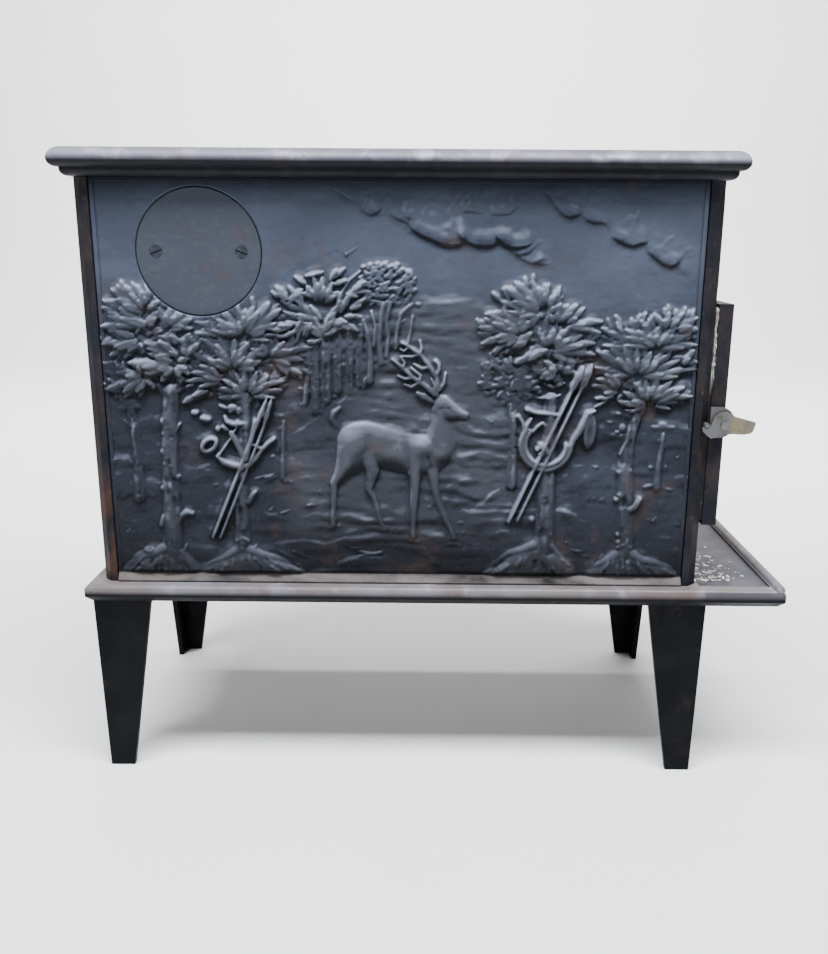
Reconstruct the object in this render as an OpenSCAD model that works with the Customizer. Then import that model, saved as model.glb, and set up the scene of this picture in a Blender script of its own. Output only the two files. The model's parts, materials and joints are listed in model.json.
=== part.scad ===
// Cast-iron wood burning stove, long and narrow, loaded from the short end.
// X runs from the rear plate to the door, Y across the stove, Z up from the floor.
// The parts are drawn round the middle of the body and moved once, at the end, so that
// the origin is the middle of the whole stove's footprint, on the floor.

/* [Body] */
// Length of the body over the rear and front plates
body_length = 600; // [560:1:640]
// Width of the body over the two side plates
body_width = 300; // [290:1:330]
// Height of the side, rear and front plates
wall_height = 391.5; // [380:0.5:420]
// Thickness of the cast plates
wall = 7; // [6:0.5:8]
// Width of the corner posts seen from the side
post_width = 14.8; // [13:0.1:18]
// Bevel on the outer edge of each corner post
post_bevel = 8; // [5:0.5:8]
// How far the side panels sit back from the face of the posts
field_inset = 4; // [3:0.5:5]
// Visible joint between a side plate and a post
seam = 0.8; // [0.4:0.1:1.2]

/* [Top plate] */
// How far the top plate stands out past the body
top_overhang = 15.1; // [12:0.1:20]
// Height of the small moulding under the edge of the top plate
cornice_height = 7.6; // [6:0.1:9]
// How far the small moulding stands out past the body
cornice_reach = 7; // [5:0.5:9]
// Height of the lower, tighter curve of the edge
edge_under = 6.9; // [5:0.1:8]
// Height of the upper, wider curve of the edge
edge_over = 10.8; // [8:0.1:12]

/* [Base plate] */
// How far the base plate stands out past the body at the rear and the sides
base_overhang = 14.8; // [12:0.1:20]
// How far the hearth stands out past the front plate
hearth_reach = 86.7; // [60:0.1:110]
// Thickness of the base plate at its edge
base_height = 17.7; // [16:0.1:20]
// Radius of the raised lip on the end of the hearth
lip_radius = 5; // [4:0.5:6]
// Depth of the ash tray sunk in the hearth
tray_depth = 3; // [2:0.5:4]

/* [Legs] */
// Height of the legs
leg_height = 190.8; // [150:0.1:230]
// Width of a leg under the base plate
leg_top_width = 58.6; // [50:0.1:70]
// Width of a leg at the floor
leg_foot_width = 25; // [20:1:32]
// How far the outer corner of a leg leans in towards its foot
leg_lean = 3.2; // [0:0.1:6]
// Thickness of a leg's metal
leg_metal = 6; // [5:0.5:8]
// How far the legs stand out past the ends of the body
leg_end_offset = 11.1; // [5:0.1:14]
// How far the legs stand out past the sides of the body
leg_side_offset = 2.7; // [0:0.1:10]

/* [Flue openings] */
// Distance of the flue openings from the middle of the body, towards the rear
flue_setback = 187; // [160:1:200]
// Distance of the flue openings' centre under the top of the side plates
flue_drop = 66.6; // [66:0.1:80]
// Radius of the disc that closes the unused opening
disc_radius = 58.3; // [50:0.1:59]
// Spacing of the two screws in the disc
disc_screw_spacing = 80; // [60:1:90]
// Inner radius of the collar that takes the flue pipe
collar_bore_radius = 60.5; // [58:0.1:60.5]
// Length of the collar
collar_reach = 50; // [40:1:70]

/* [Door] */
// Width of the door
door_width = 282; // [270:1:284]
// Height of the door
door_height = 218; // [200:1:240]
// Height of the door's lower edge above the base plate
door_sill = 62.5; // [50:0.5:80]
// Thickness of the door at its rim
door_thickness = 14; // [12:0.5:16]
// Gap between the front plate and the door
door_gap = 3; // [2:0.1:4]
// Radius of the hinge pins
pin_radius = 4; // [3:0.5:5]

/* [Latch] */
// Height of the latch rivet above the door's lower edge
rivet_rise = 103.4; // [80:0.1:140]
// Distance of the latch rivet in front of the front plate
rivet_reach = 14.5; // [14:0.1:16]
// Thickness of the latch lever
lever_thickness = 3.4; // [3:0.1:4]

/* [Firebox] */
// Thickness of the liner plates
liner = 6; // [5:0.5:8]
// Height of the liner plates
liner_height = 227.5; // [200:0.5:240]
// Thickness of the floor liner and of the baffle
heavy_liner = 8; // [6:0.5:10]

/* [Hidden] */

$fn = 64;
over = 1;          // how far a cutting shape runs past the face it cuts
touch = 0.02;      // clearance round a part that is held fast in its hole
run = 0.06;        // clearance round a pin that turns in its hole

half_l = body_length / 2;
half_w = body_width / 2;
base_top = leg_height + base_height;
wall_top = base_top + wall_height;
field_y = -half_w + field_inset;
inner_y = field_y + wall;

// The whole stove's footprint, for the origin
rear_end = -half_l - base_overhang;
front_end = half_l + hearth_reach;
left_end = -half_w - top_overhang;
right_end = half_w - field_inset + collar_reach;
origin_x = (rear_end + front_end) / 2;
origin_y = (left_end + right_end) / 2;

// Side plates
tongue = 6;                     // reach of a side plate's edge into the post
tongue_thickness = 5;
rim_width = 4;
rim_height = 2.2;
rail_height = 9;                // bevelled rail along the foot of a side plate
rail_reach = 2;
panel_half = half_l - post_width - seam;

// Flue openings
flue_x = -flue_setback;
flue_z = wall_top - flue_drop;
opening_radius = disc_radius + 0.8;
ledge_radius = opening_radius - 6;
boss_radius = opening_radius + 7;
boss_height = 3;
disc_thickness = 4.8;
collar_metal = 4.5;
collar_flange = 7;
collar_flange_radius = collar_bore_radius + 5.1;
collar_stop = 5;                // inner step that stops the pipe
collar_bolt_spacing = 152;
collar_bolt_radius = 4;
ear_radius = 10;

// Tie rods
rod_x = half_l - 23.5;
rod_y = half_w - 17;
rod_radius = 4;
rod_tail = 14;                  // length under the leg's tab
nut_height = 6.5;
nut_radius = 7.5;

// Door and its hinges
door_back = half_l + door_gap;
door_face = door_back + door_thickness;
door_skin = 6;
door_near = -half_w + 8;
door_far = door_near + door_width;
door_low = base_top + door_sill;
door_high = door_low + door_height;
opening_half = half_w - 32;
opening_low = door_low + 19;
opening_high = door_high - 17;
hinge_x = half_l + 10;
hinge_y = half_w - 1;
knuckle_radius = 8;
knuckle_height = 16;
lug_height = 12.7;
hinge_play = 0.3;
hinge_levels = [door_low + 26, door_high - 42];
rope_outer = 3.5;               // the seal's outline inside the door's edge
rope_width = 8;
rope_depth = 3.2;

// Air register in the door
register_z = door_low + 64;
register_radius = 38;
register_thickness = 4;
register_hole = 7.5;
register_ring = 24;
register_holes = 5;
pivot_radius = 4;

// Latch
rivet_x = half_l + rivet_reach;
rivet_z = door_low + rivet_rise;
lever_face = -half_w - 3;       // outer face of the lever
ear_face = -half_w + 1;         // outer face of the bracket's ear
bracket_metal = 3;
rivet_radius = 3;
catch_x = rivet_x - 16.9;
catch_z = rivet_z - 0.4;
catch_radius = 2.4;

bracket_screws = [door_near + 15, door_near + 26];

// Linings and the door's heat shield
liner_half = half_l - 32;
liner_out = -inner_y - 3;       // outer face of a side liner, measured from the middle
liner_top = base_top + liner_height;
shield_screw_levels = [door_low + 40, door_high - 40];
shield_back = door_face - door_skin - 3;

// ---- shared shapes ----

// A cylinder along Y from y0 to y1
module bar_y(x, z, y0, y1, r) {
    translate([x, y1, z]) rotate([90, 0, 0]) cylinder(r = r, h = y1 - y0);
}

// A cylinder along X from x0 to x1
module bar_x(y, z, x0, x1, r) {
    translate([x0, y, z]) rotate([0, 90, 0]) cylinder(r = r, h = x1 - x0);
}

// A box between two corners
module block(low, high) {
    translate(low) cube(high - low);
}

// A moulded slab: the same edge section along X and along Y, mitred at the corners
module moulded(x0, x1, y0, y1) {
    intersection() {
        translate([0, y1, 0]) rotate([90, 0, 0]) linear_extrude(y1 - y0) edge(x0, x1, $slab);
        translate([x0, 0, 0]) rotate([90, 0, 90]) linear_extrude(x1 - x0) edge(y0, y1, $slab);
    }
}

// Section of a slab from a to b: the top plate's or the base plate's edge
module edge(a, b, slab) {
    if (slab == "top") top_edge(a, b);
    else base_edge(a, b);
}

// Quarter rounds at both ends of a bar from a to b that stands from low to low + r
module round_over(a, b, low, r) {
    intersection() {
        union() {
            translate([a + r, low]) circle(r);
            translate([b - r, low]) circle(r);
            translate([a + r, low - r]) square([b - a - 2 * r, 2 * r]);
        }
        translate([a, low]) square([b - a, r]);
    }
}

// The same under the line high
module round_under(a, b, high, r) {
    translate([0, 2 * high]) mirror([0, 1]) round_over(a, b, high, r);
}

module top_edge(a, b) {
    swell = wall_top + cornice_height + edge_under;
    cornice_in = top_overhang - cornice_reach;
    round_over(a, b, swell, edge_over);
    round_under(a, b, swell, edge_under);
    translate([a + cornice_in, wall_top + 6]) square([b - a - 2 * cornice_in, cornice_height - 6 + over]);
    round_under(a + cornice_in, b - cornice_in, wall_top + 6, 6);
}

module base_edge(a, b) {
    chamfer = 6;
    round = 5;
    square_low = leg_height + chamfer;
    square_high = base_top - round;
    round_over(a, b, square_high, round);
    translate([a, square_low]) square([b - a, square_high - square_low]);
    polygon([[a + chamfer, leg_height], [b - chamfer, leg_height], [b, square_low], [a, square_low]]);
}

// ---- plates of the body ----

module base_plate() {
    color([0.27, 0.26, 0.28]) difference() {
        union() {
            moulded(rear_end, front_end, -half_w - base_overhang, half_w + base_overhang, $slab = "base");
            hearth_lip();
        }
        block([half_l + 3, -half_w, base_top - tray_depth], [front_end - 11, half_w, base_top + over]);
        // hollow underside, clear of the legs
        block([-half_l + 15, -half_w + 62, leg_height - over], [front_end - 28, half_w - 62, leg_height + 8]);
        block([-half_l + 65, -half_w + 15, leg_height - over], [half_l - 65, half_w - 15, leg_height + 8]);
        for (x = [-rod_x, rod_x], y = [-rod_y, rod_y])
            translate([x, y, leg_height - over]) cylinder(r = rod_radius + touch, h = base_height + 2 * over);
    }
}

// The raised lip along the end of the hearth
module hearth_lip() {
    reach = half_w + base_overhang - lip_radius;
    x = front_end - lip_radius;
    bar_y(x, base_top, -reach, reach, lip_radius);
    for (y = [-reach, reach]) translate([x, y, base_top]) sphere(r = lip_radius);
}

module top_plate() {
    reach_x = half_l + top_overhang;
    reach_y = half_w + top_overhang;
    color([0.25, 0.25, 0.28]) difference() {
        moulded(-reach_x, reach_x, -reach_y, reach_y, $slab = "top");
        difference() {
            block([-half_l + 15, -half_w + 15, wall_top - over], [half_l - 15, half_w - 15, wall_top + 14]);
            for (x = [-rod_x, rod_x], y = [-rod_y, rod_y])
                translate([x, y, wall_top - over]) cylinder(r = 9, h = 14 + 2 * over);
        }
        for (x = [-rod_x, rod_x], y = [-rod_y, rod_y])
            translate([x, y, wall_top - over]) cylinder(r = rod_radius + touch, h = 14 + over);
    }
}

// The left side plate, which the right one mirrors
module side_casting() {
    difference() {
        union() {
            block([-panel_half, field_y, base_top], [panel_half, inner_y, wall_top]);
            block([-panel_half - tongue, field_y + 2, base_top], [panel_half + tongue, inner_y, wall_top]);
            side_rim();
            side_rail();
            bar_y(flue_x, flue_z, inner_y - over, inner_y + boss_height, boss_radius);
        }
        bar_y(flue_x, flue_z, field_y - over, field_y + disc_thickness + 0.2, opening_radius);
        bar_y(flue_x, flue_z, field_y, inner_y + boss_height + over, ledge_radius);
    }
}

// Thin raised frame round the panel
module side_rim() {
    difference() {
        block([-panel_half, field_y - rim_height, base_top], [panel_half, field_y + over, wall_top]);
        block([-panel_half + rim_width, field_y - rim_height - over, base_top + rail_height],
              [panel_half - rim_width, field_y + 2 * over, wall_top - rim_width]);
    }
}

// Bevelled rail along the foot of the panel
module side_rail() {
    translate([-panel_half, 0, base_top]) rotate([90, 0, 90]) linear_extrude(2 * panel_half)
        polygon([[field_y + over, 0], [-half_w - rail_reach, 0], [-half_w - rail_reach, 2],
                 [field_y - rim_height, rail_height], [field_y + over, rail_height]]);
}

module left_side_plate() {
    color([0.24, 0.26, 0.31]) side_casting();
}

module right_side_plate() {
    color([0.24, 0.26, 0.31]) difference() {
        mirror([0, 1, 0]) side_casting();
        for (side = [-1, 1])
            bar_y(flue_x + side * collar_bolt_spacing / 2, flue_z, -inner_y - over, -field_y + over,
                  collar_bolt_radius + touch);
        // gap in the rim for the collar's flange
        bar_y(flue_x, flue_z, -field_y, -field_y + rim_height + over, collar_flange_radius + 1.5);
    }
}

// An end plate with its two posts, seen as the front plate
module end_casting() {
    post_in = half_l - post_width;
    thin = half_l - wall - 1;
    groove_end = post_in + tongue - seam + 0.4;
    groove = [inner_y + 0.25, field_y + 2 - 0.25];
    translate([0, 0, base_top]) linear_extrude(wall_height) {
        difference() {
            polygon([[post_in, -half_w], [half_l - post_bevel, -half_w], [half_l, -half_w + post_bevel],
                     [half_l, half_w - post_bevel], [half_l - post_bevel, half_w], [post_in, half_w],
                     [post_in, half_w - 18], [thin, half_w - 18], [thin, -half_w + 18],
                     [post_in, -half_w + 18]]);
            for (side = [-1, 1]) scale([1, side])
                translate([post_in - over, groove[1]]) square([groove_end - post_in + over, groove[0] - groove[1]]);
        }
    }
}

// Thin raised frame on an end plate
module end_rim(low, high) {
    reach = half_w - post_bevel - 6;
    difference() {
        block([half_l - over, -reach, low], [half_l + 2, reach, high]);
        block([half_l - 2 * over, -reach + 5, low + 5], [half_l + 2 + over, reach - 5, high - 5]);
    }
}

module front_plate() {
    color([0.24, 0.24, 0.27]) difference() {
        union() {
            end_casting();
            end_rim(door_high + 14, wall_top - 14);
            for (z = hinge_levels) hinge_lug(z);
        }
        block([half_l - 30, -opening_half, opening_low], [half_l + over, opening_half, opening_high]);
        for (z = hinge_levels)
            translate([hinge_x, hinge_y, z - lug_height - over])
                cylinder(r = pin_radius + touch, h = lug_height + 2 * over);
        bar_y(catch_x, catch_z, lever_face, -half_w + 14, catch_radius + touch);
    }
}

// Lug under a door knuckle, whose top is at z
module hinge_lug(z) {
    low = z - lug_height;
    translate([hinge_x, hinge_y, low]) cylinder(r = knuckle_radius, h = lug_height);
    block([half_l - 9, half_w - 8.5, low], [hinge_x, half_w, z]);
}

module rear_plate() {
    color([0.23, 0.24, 0.27]) mirror([1, 0, 0]) {
        end_casting();
        end_rim(base_top + 14, wall_top - 14);
    }
}

// ---- flue openings ----

module blanking_disc() {
    color([0.22, 0.23, 0.27]) difference() {
        bar_y(flue_x, flue_z, field_y, field_y + disc_thickness, disc_radius);
        for (side = [-1, 1]) disc_screw(side, touch);
    }
}

// A countersunk screw in the disc, grown by play when it cuts its own hole
module disc_screw(side, play) {
    head = 6;
    head_height = 3.2;
    x = flue_x + side * disc_screw_spacing / 2;
    bar_y(x, flue_z, field_y, field_y + 20, 3 + play);
    translate([x, field_y, flue_z]) rotate([-90, 0, 0])
        cylinder(r1 = head + play, r2 = 3 + play, h = head_height);
}

module blanking_disc_screws() {
    color([0.42, 0.42, 0.44]) for (side = [-1, 1]) difference() {
        disc_screw(side, 0);
        translate([flue_x + side * disc_screw_spacing / 2, field_y, flue_z]) rotate([0, 20 * side, 0])
            block([-7, -over, -0.7], [7, 1.4, 0.7]);
    }
}

module blanking_disc_bar() {
    back = inner_y + boss_height;
    color([0.3, 0.3, 0.31]) difference() {
        block([flue_x - boss_radius + 4, back, flue_z - 12], [flue_x + boss_radius - 4, back + 6, flue_z + 12]);
        for (side = [-1, 1]) disc_screw(side, touch);
    }
}

module flue_collar() {
    base = -field_y;
    color([0.26, 0.26, 0.27]) difference() {
        union() {
            translate([flue_x, base + collar_flange, flue_z]) rotate([90, 0, 0])
                linear_extrude(collar_flange) collar_outline();
            bar_y(flue_x, flue_z, base, base + collar_reach, collar_bore_radius + collar_metal);
        }
        bar_y(flue_x, flue_z, base + collar_stop, base + collar_reach + over, collar_bore_radius);
        bar_y(flue_x, flue_z, base - over, base + collar_reach, collar_bore_radius - 4);
        for (side = [-1, 1])
            bar_y(flue_x + side * collar_bolt_spacing / 2, flue_z, base - over, base + collar_flange + over,
                  collar_bolt_radius + touch);
    }
}

// Round flange with two ears
module collar_outline() {
    ear = collar_bolt_spacing / 2;
    circle(collar_flange_radius);
    for (side = [-1, 1]) translate([side * ear, 0]) circle(ear_radius);
    polygon([[-ear, -ear_radius], [-22, -61], [22, -61], [ear, -ear_radius],
             [ear, ear_radius], [22, 61], [-22, 61], [-ear, ear_radius]]);
}

module flue_collar_bolts() {
    outer = -field_y + collar_flange;
    color([0.4, 0.38, 0.36]) for (side = [-1, 1]) {
        x = flue_x + side * collar_bolt_spacing / 2;
        bar_y(x, flue_z, -inner_y - 9, outer + over, collar_bolt_radius);
        translate([x, outer + 5.5, flue_z]) rotate([90, 0, 0]) cylinder(r = 7.5, h = 5.5, $fn = 6);
    }
}

module flue_collar_nuts() {
    color([0.4, 0.38, 0.36]) for (side = [-1, 1])
        translate([flue_x + side * collar_bolt_spacing / 2, -inner_y, flue_z]) rotate([90, 0, 0]) difference() {
            cylinder(r = 7.5, h = 6.5, $fn = 6);
            translate([0, 0, -over]) cylinder(r = collar_bolt_radius + touch, h = 6.5 + 2 * over);
        }
}

// ---- legs and tie rods ----

// One leg, drawn with its outer corner at the origin and reaching towards +X and +Y
module leg() {
    sliver = 0.01;
    difference() {
        union() {
            for (turn = [0, 1]) mirror([turn, -turn, 0]) hull() {
                translate([0, 0, leg_height - sliver]) cube([leg_top_width, leg_metal, sliver]);
                translate([leg_lean, leg_lean, 0]) cube([leg_foot_width, leg_metal, sliver]);
            }
            block([1, 1, leg_height - leg_metal], [leg_top_width - 1, leg_top_width - 1, leg_height]);
        }
        translate([leg_end_offset + half_l - rod_x, leg_side_offset + half_w - rod_y, leg_height - leg_metal - over])
            cylinder(r = rod_radius + touch, h = leg_metal + 2 * over);
    }
}

// Puts a leg at a corner: end is -1 at the rear and 1 at the front, side -1 at the left
module placed_leg(end, side) {
    color([0.09, 0.1, 0.11]) scale([-end, -side, 1])
        translate([-half_l - leg_end_offset, -half_w - leg_side_offset, 0]) leg();
}

module leg_front_left() placed_leg(1, -1);
module leg_front_right() placed_leg(1, 1);
module leg_rear_left() placed_leg(-1, -1);
module leg_rear_right() placed_leg(-1, 1);

module tie_rods() {
    low = leg_height - rod_tail;
    color([0.42, 0.41, 0.4]) for (x = [-rod_x, rod_x], y = [-rod_y, rod_y])
        translate([x, y, low]) cylinder(r = rod_radius, h = wall_top + 12 - low);
}

module tie_rod_nuts() {
    color([0.42, 0.41, 0.4]) for (x = [-rod_x, rod_x], y = [-rod_y, rod_y])
        translate([x, y, leg_height - leg_metal - nut_height]) difference() {
            cylinder(r = nut_radius, h = nut_height, $fn = 6);
            translate([0, 0, -over]) cylinder(r = rod_radius + touch, h = nut_height + 2 * over);
        }
}

// ---- firebox linings ----

module side_liner(side) {
    near = side * liner_out;
    far = side * (liner_out - liner);
    color([0.2, 0.19, 0.19]) difference() {
        block([-liner_half, min(near, far), base_top], [liner_half, max(near, far), liner_top]);
        // slots that let the plate grow with heat
        for (x = [-liner_half / 3, liner_half / 3])
            block([x - 1.5, min(near, far) - over, liner_top - 90], [x + 1.5, max(near, far) + over, liner_top + over]);
    }
}

module left_liner() side_liner(-1);
module right_liner() side_liner(1);

module rear_liner() {
    reach = liner_out - liner - 2;
    x = -half_l + wall + 3;
    color([0.2, 0.19, 0.19]) block([x, -reach, base_top], [x + liner, reach, liner_top]);
}

module floor_liner() {
    reach = liner_out - liner - 2;
    color([0.2, 0.19, 0.19]) difference() {
        block([-liner_half, -reach, base_top], [liner_half, reach, base_top + heavy_liner]);
        // shallow grooves that hold a bed of ash
        for (y = [-80, -40, 0, 40, 80])
            block([-liner_half + 30, y - 6, base_top + heavy_liner - 3],
                  [liner_half - 30, y + 6, base_top + heavy_liner + over]);
    }
}

module baffle_plate() {
    rear = -half_l + wall + 3;
    color([0.2, 0.19, 0.19]) union() {
        block([-liner_half, -liner_out, liner_top], [190, liner_out, liner_top + heavy_liner]);
        block([rear, -liner_out + 10, liner_top], [-liner_half + over, liner_out - 10, liner_top + heavy_liner]);
        for (y = [-60, 60]) block([-200, y - 4, liner_top + heavy_liner - over], [150, y + 4, liner_top + 18]);
    }
}

// ---- door ----

module door() {
    color([0.2, 0.2, 0.22]) difference() {
        union() {
            block([door_back, door_near, door_low], [door_face, door_far, door_high]);
            door_panel();
            for (z = hinge_levels) door_knuckle(z + hinge_play);
        }
        // hollow back
        block([door_back - over, -opening_half - 2, opening_low + 2],
              [door_face - door_skin, opening_half - 2, opening_high - 4]);
        rope_ring(door_back - over, door_back + rope_depth, 0);
        for (z = hinge_levels)
            translate([hinge_x, hinge_y, z - over]) cylinder(r = pin_radius + run, h = knuckle_height + 2 * over);
        register_ports(door_face - door_skin - over, door_face + over, 0);
        bar_x(0, register_z, door_face - door_skin - over, door_face + over, pivot_radius + touch);
        for (z = shield_screw_levels) bar_x(0, z, door_face - door_skin - over, door_face - 2, 2.5 + touch);
        for (y = bracket_screws) bar_x(y, rivet_z, door_back + over, door_face + over, 2.5 + touch);
    }
}

// Raised border round the face of the door
module door_panel() {
    margin = 20;
    width = 6;
    difference() {
        block([door_face - over, door_near + margin, door_low + margin],
              [door_face + 2, door_far - margin, door_high - margin]);
        block([door_face - 2 * over, door_near + margin + width, door_low + margin + width],
              [door_face + 2 + over, door_far - margin - width, door_high - margin - width]);
        // gap in the border for the latch bracket
        block([door_face, door_near, rivet_z - 11], [door_face + 2 + over, door_near + 36, rivet_z + 14]);
    }
}

module door_knuckle(z) {
    translate([hinge_x, hinge_y, z]) cylinder(r = knuckle_radius, h = knuckle_height);
    block([door_back + 1, door_far - over, z], [door_face - 1, hinge_y, z + knuckle_height]);
}

// Square ring that the rope seal fills, in the back of the door
module rope_ring(x0, x1, play) {
    outer = rope_outer - play;
    inner = rope_outer + rope_width + play;
    difference() {
        block([x0, door_near + outer, door_low + outer], [x1, door_far - outer, door_high - outer]);
        block([x0 - over, door_near + inner, door_low + inner], [x1 + over, door_far - inner, door_high - inner]);
    }
}

module door_rope_seal() {
    color([0.75, 0.73, 0.68]) rope_ring(half_l + touch, door_back + rope_depth - touch, -touch);
}

module door_heat_shield() {
    color([0.22, 0.2, 0.2]) difference() {
        block([shield_back - 3, -opening_half + 6, opening_low + 10],
              [shield_back, opening_half - 10, opening_high - 12]);
        for (z = shield_screw_levels) bar_x(0, z, shield_back - 3 - over, shield_back + over, 2.5 + touch);
    }
}

module door_heat_shield_screws() {
    color([0.42, 0.4, 0.38]) for (z = shield_screw_levels) {
        bar_x(0, z, shield_back - 3 - over, door_face - 2, 2.5);
        bar_x(0, z, shield_back - 3 - 1.8, shield_back - 3, 5);
        // spacer that keeps the shield off the door
        bar_x(0, z, shield_back + touch, shield_back + 3 - touch, 4.5);
    }
}

module hinge_pins() {
    color([0.4, 0.4, 0.41]) for (z = hinge_levels) {
        head = z + hinge_play + knuckle_height + hinge_play;
        translate([hinge_x, hinge_y, z - lug_height - 3]) cylinder(r = pin_radius, h = head - z + lug_height + 3 + over);
        translate([hinge_x, hinge_y, head]) cylinder(r = 6.5, h = 3);
    }
}

// ---- air register ----

// Ports on a ring round the pivot, turned by phase
module register_ports(x0, x1, phase) {
    for (i = [0 : register_holes - 1]) {
        angle = phase + i * 360 / register_holes;
        bar_x(register_ring * sin(angle), register_z + register_ring * cos(angle), x0, x1, register_hole);
    }
}

module air_register() {
    x = door_face + 0.3;
    color([0.3, 0.3, 0.32]) difference() {
        bar_x(0, register_z, x, x + register_thickness, register_radius);
        register_ports(x - over, x + register_thickness + over, 180 / register_holes);
        bar_x(0, register_z, x - over, x + register_thickness + over, pivot_radius + run);
        bar_x(0, register_z + register_ring, x - over, x + register_thickness + over, 2.5 + touch);
    }
}

module air_register_knob() {
    x = door_face + 0.3;
    color([0.5, 0.49, 0.46]) translate([x, 0, register_z + register_ring]) rotate([0, 90, 0]) {
        cylinder(r = 2.5, h = register_thickness + over);
        translate([0, 0, register_thickness]) cylinder(r = 4, h = 8);
        translate([0, 0, register_thickness + 8]) cylinder(r1 = 4, r2 = 7, h = 3);
        translate([0, 0, register_thickness + 11]) cylinder(r = 7, h = 5);
    }
}

module air_register_pivot() {
    head = door_face + 0.3 + register_thickness + 0.3;
    color([0.45, 0.44, 0.43]) {
        bar_x(0, register_z, door_face - door_skin - 2, head + over, pivot_radius);
        bar_x(0, register_z, head, head + 4, 8);
    }
}

// ---- latch ----

// Ear beside the lever, and a flange across the face of the door
module latch_bracket() {
    left = half_l + 1.2;
    color([0.55, 0.55, 0.56]) difference() {
        union() {
            translate([0, ear_face + bracket_metal, 0]) rotate([90, 0, 0]) linear_extrude(bracket_metal)
                intersection() {
                    translate([left, rivet_z - 20]) square(40);
                    union() {
                        translate([left, rivet_z - 13]) square([rivet_x - 2 - left, 30]);
                        translate([rivet_x - 3.5, rivet_z]) circle(13);
                        translate([rivet_x - 3.5, rivet_z + 4]) circle(13);
                    }
                }
            block([door_face, ear_face + over, rivet_z - 9],
                  [door_face + bracket_metal, door_near + 34, rivet_z + 12]);
        }
        bar_y(rivet_x, rivet_z, ear_face - over, ear_face + bracket_metal + over, rivet_radius + touch);
        // seat for the rivet's inner head
        bar_y(rivet_x, rivet_z, ear_face + bracket_metal, ear_face + bracket_metal + 2, 4.5);
        for (y = bracket_screws)
            bar_x(y, rivet_z, door_face - over, door_face + bracket_metal + over, 2.5 + touch);
    }
}

module latch_bracket_screws() {
    head = door_face + bracket_metal;
    color([0.45, 0.45, 0.46]) for (y = bracket_screws) {
        bar_x(y, rivet_z, door_back + 4, head + over, 2.5);
        bar_x(y, rivet_z, head, head + 2.5, 4.5);
    }
}

module latch_rivet() {
    color([0.6, 0.6, 0.6]) union() {
        bar_y(rivet_x, rivet_z, lever_face - 1, ear_face + bracket_metal + 1, rivet_radius);
        bar_y(rivet_x, rivet_z, lever_face - 2.2, lever_face - 0.2, 4.2);
        bar_y(rivet_x, rivet_z, ear_face + bracket_metal, ear_face + bracket_metal + 1.5, 4.2);
    }
}

// Hook on the left, which drops under the catch pin as the handle on the right is lifted
module latch_lever() {
    color([0.62, 0.61, 0.55]) difference() {
        translate([rivet_x, lever_face + lever_thickness, rivet_z]) rotate([90, 0, 0])
            linear_extrude(lever_thickness) lever_outline();
        bar_y(rivet_x, rivet_z, lever_face - over, lever_face + lever_thickness + over, rivet_radius + run);
        bar_y(catch_x, catch_z, lever_face - over, lever_face + lever_thickness + over, catch_radius + 0.6);
    }
}

module lever_outline() {
    polygon([[-21.3, -3.4], [-19.9, -1.6], [-17, -0.6], [-13.2, -0.2], [-12.4, 3], [-10.6, 7.6], [-7.2, 11],
             [-2.4, 12.8], [2.2, 12.7], [6.4, 11], [9.8, 8.4], [29, 3.4], [29.6, 1.6], [27.6, -5.6],
             [25.2, -7.8], [17.2, -9], [8.4, -8.3], [1, -9.1], [-5.6, -11.2], [-12.6, -13], [-16.6, -10],
             [-20.4, -6.4]]);
}

module latch_catch() {
    color([0.4, 0.4, 0.41]) bar_y(catch_x, catch_z, lever_face - 0.6, -half_w + 13, catch_radius);
}

// ---- the stove, moved so that the origin is the middle of its footprint ----

module placed() {
    translate([-origin_x, -origin_y, 0]) children();
}

placed() base_plate();
placed() left_side_plate();
placed() right_side_plate();
placed() front_plate();
placed() rear_plate();
placed() top_plate();
placed() blanking_disc();
placed() blanking_disc_bar();
placed() blanking_disc_screws();
placed() flue_collar();
placed() flue_collar_bolts();
placed() flue_collar_nuts();
placed() leg_front_left();
placed() leg_front_right();
placed() leg_rear_left();
placed() leg_rear_right();
placed() tie_rods();
placed() tie_rod_nuts();
placed() left_liner();
placed() right_liner();
placed() rear_liner();
placed() floor_liner();
placed() baffle_plate();
placed() hinge_pins();
placed() latch_catch();
placed() door();
placed() door_rope_seal();
placed() door_heat_shield();
placed() door_heat_shield_screws();
placed() latch_bracket();
placed() latch_bracket_screws();
placed() latch_rivet();
placed() latch_lever();
placed() air_register();
placed() air_register_knob();
placed() air_register_pivot();
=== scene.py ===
import json
import math

import bpy
import numpy as np
from mathutils import Matrix, Vector


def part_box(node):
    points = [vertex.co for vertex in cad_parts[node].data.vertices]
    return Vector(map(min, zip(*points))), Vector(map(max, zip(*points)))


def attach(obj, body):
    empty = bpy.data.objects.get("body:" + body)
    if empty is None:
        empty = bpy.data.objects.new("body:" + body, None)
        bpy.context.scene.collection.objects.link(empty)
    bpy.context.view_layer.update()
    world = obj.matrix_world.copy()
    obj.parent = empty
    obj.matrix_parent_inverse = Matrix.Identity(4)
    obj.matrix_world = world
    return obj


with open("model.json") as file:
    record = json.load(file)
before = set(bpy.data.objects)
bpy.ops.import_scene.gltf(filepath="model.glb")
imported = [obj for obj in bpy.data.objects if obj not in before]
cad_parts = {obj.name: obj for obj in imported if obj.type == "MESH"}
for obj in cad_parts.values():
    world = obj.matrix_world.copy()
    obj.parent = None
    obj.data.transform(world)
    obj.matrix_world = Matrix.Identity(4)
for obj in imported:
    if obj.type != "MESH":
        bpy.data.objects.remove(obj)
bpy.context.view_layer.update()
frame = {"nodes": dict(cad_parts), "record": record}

# ---- places, in millimetres from the middle of the body and the floor ----

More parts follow.
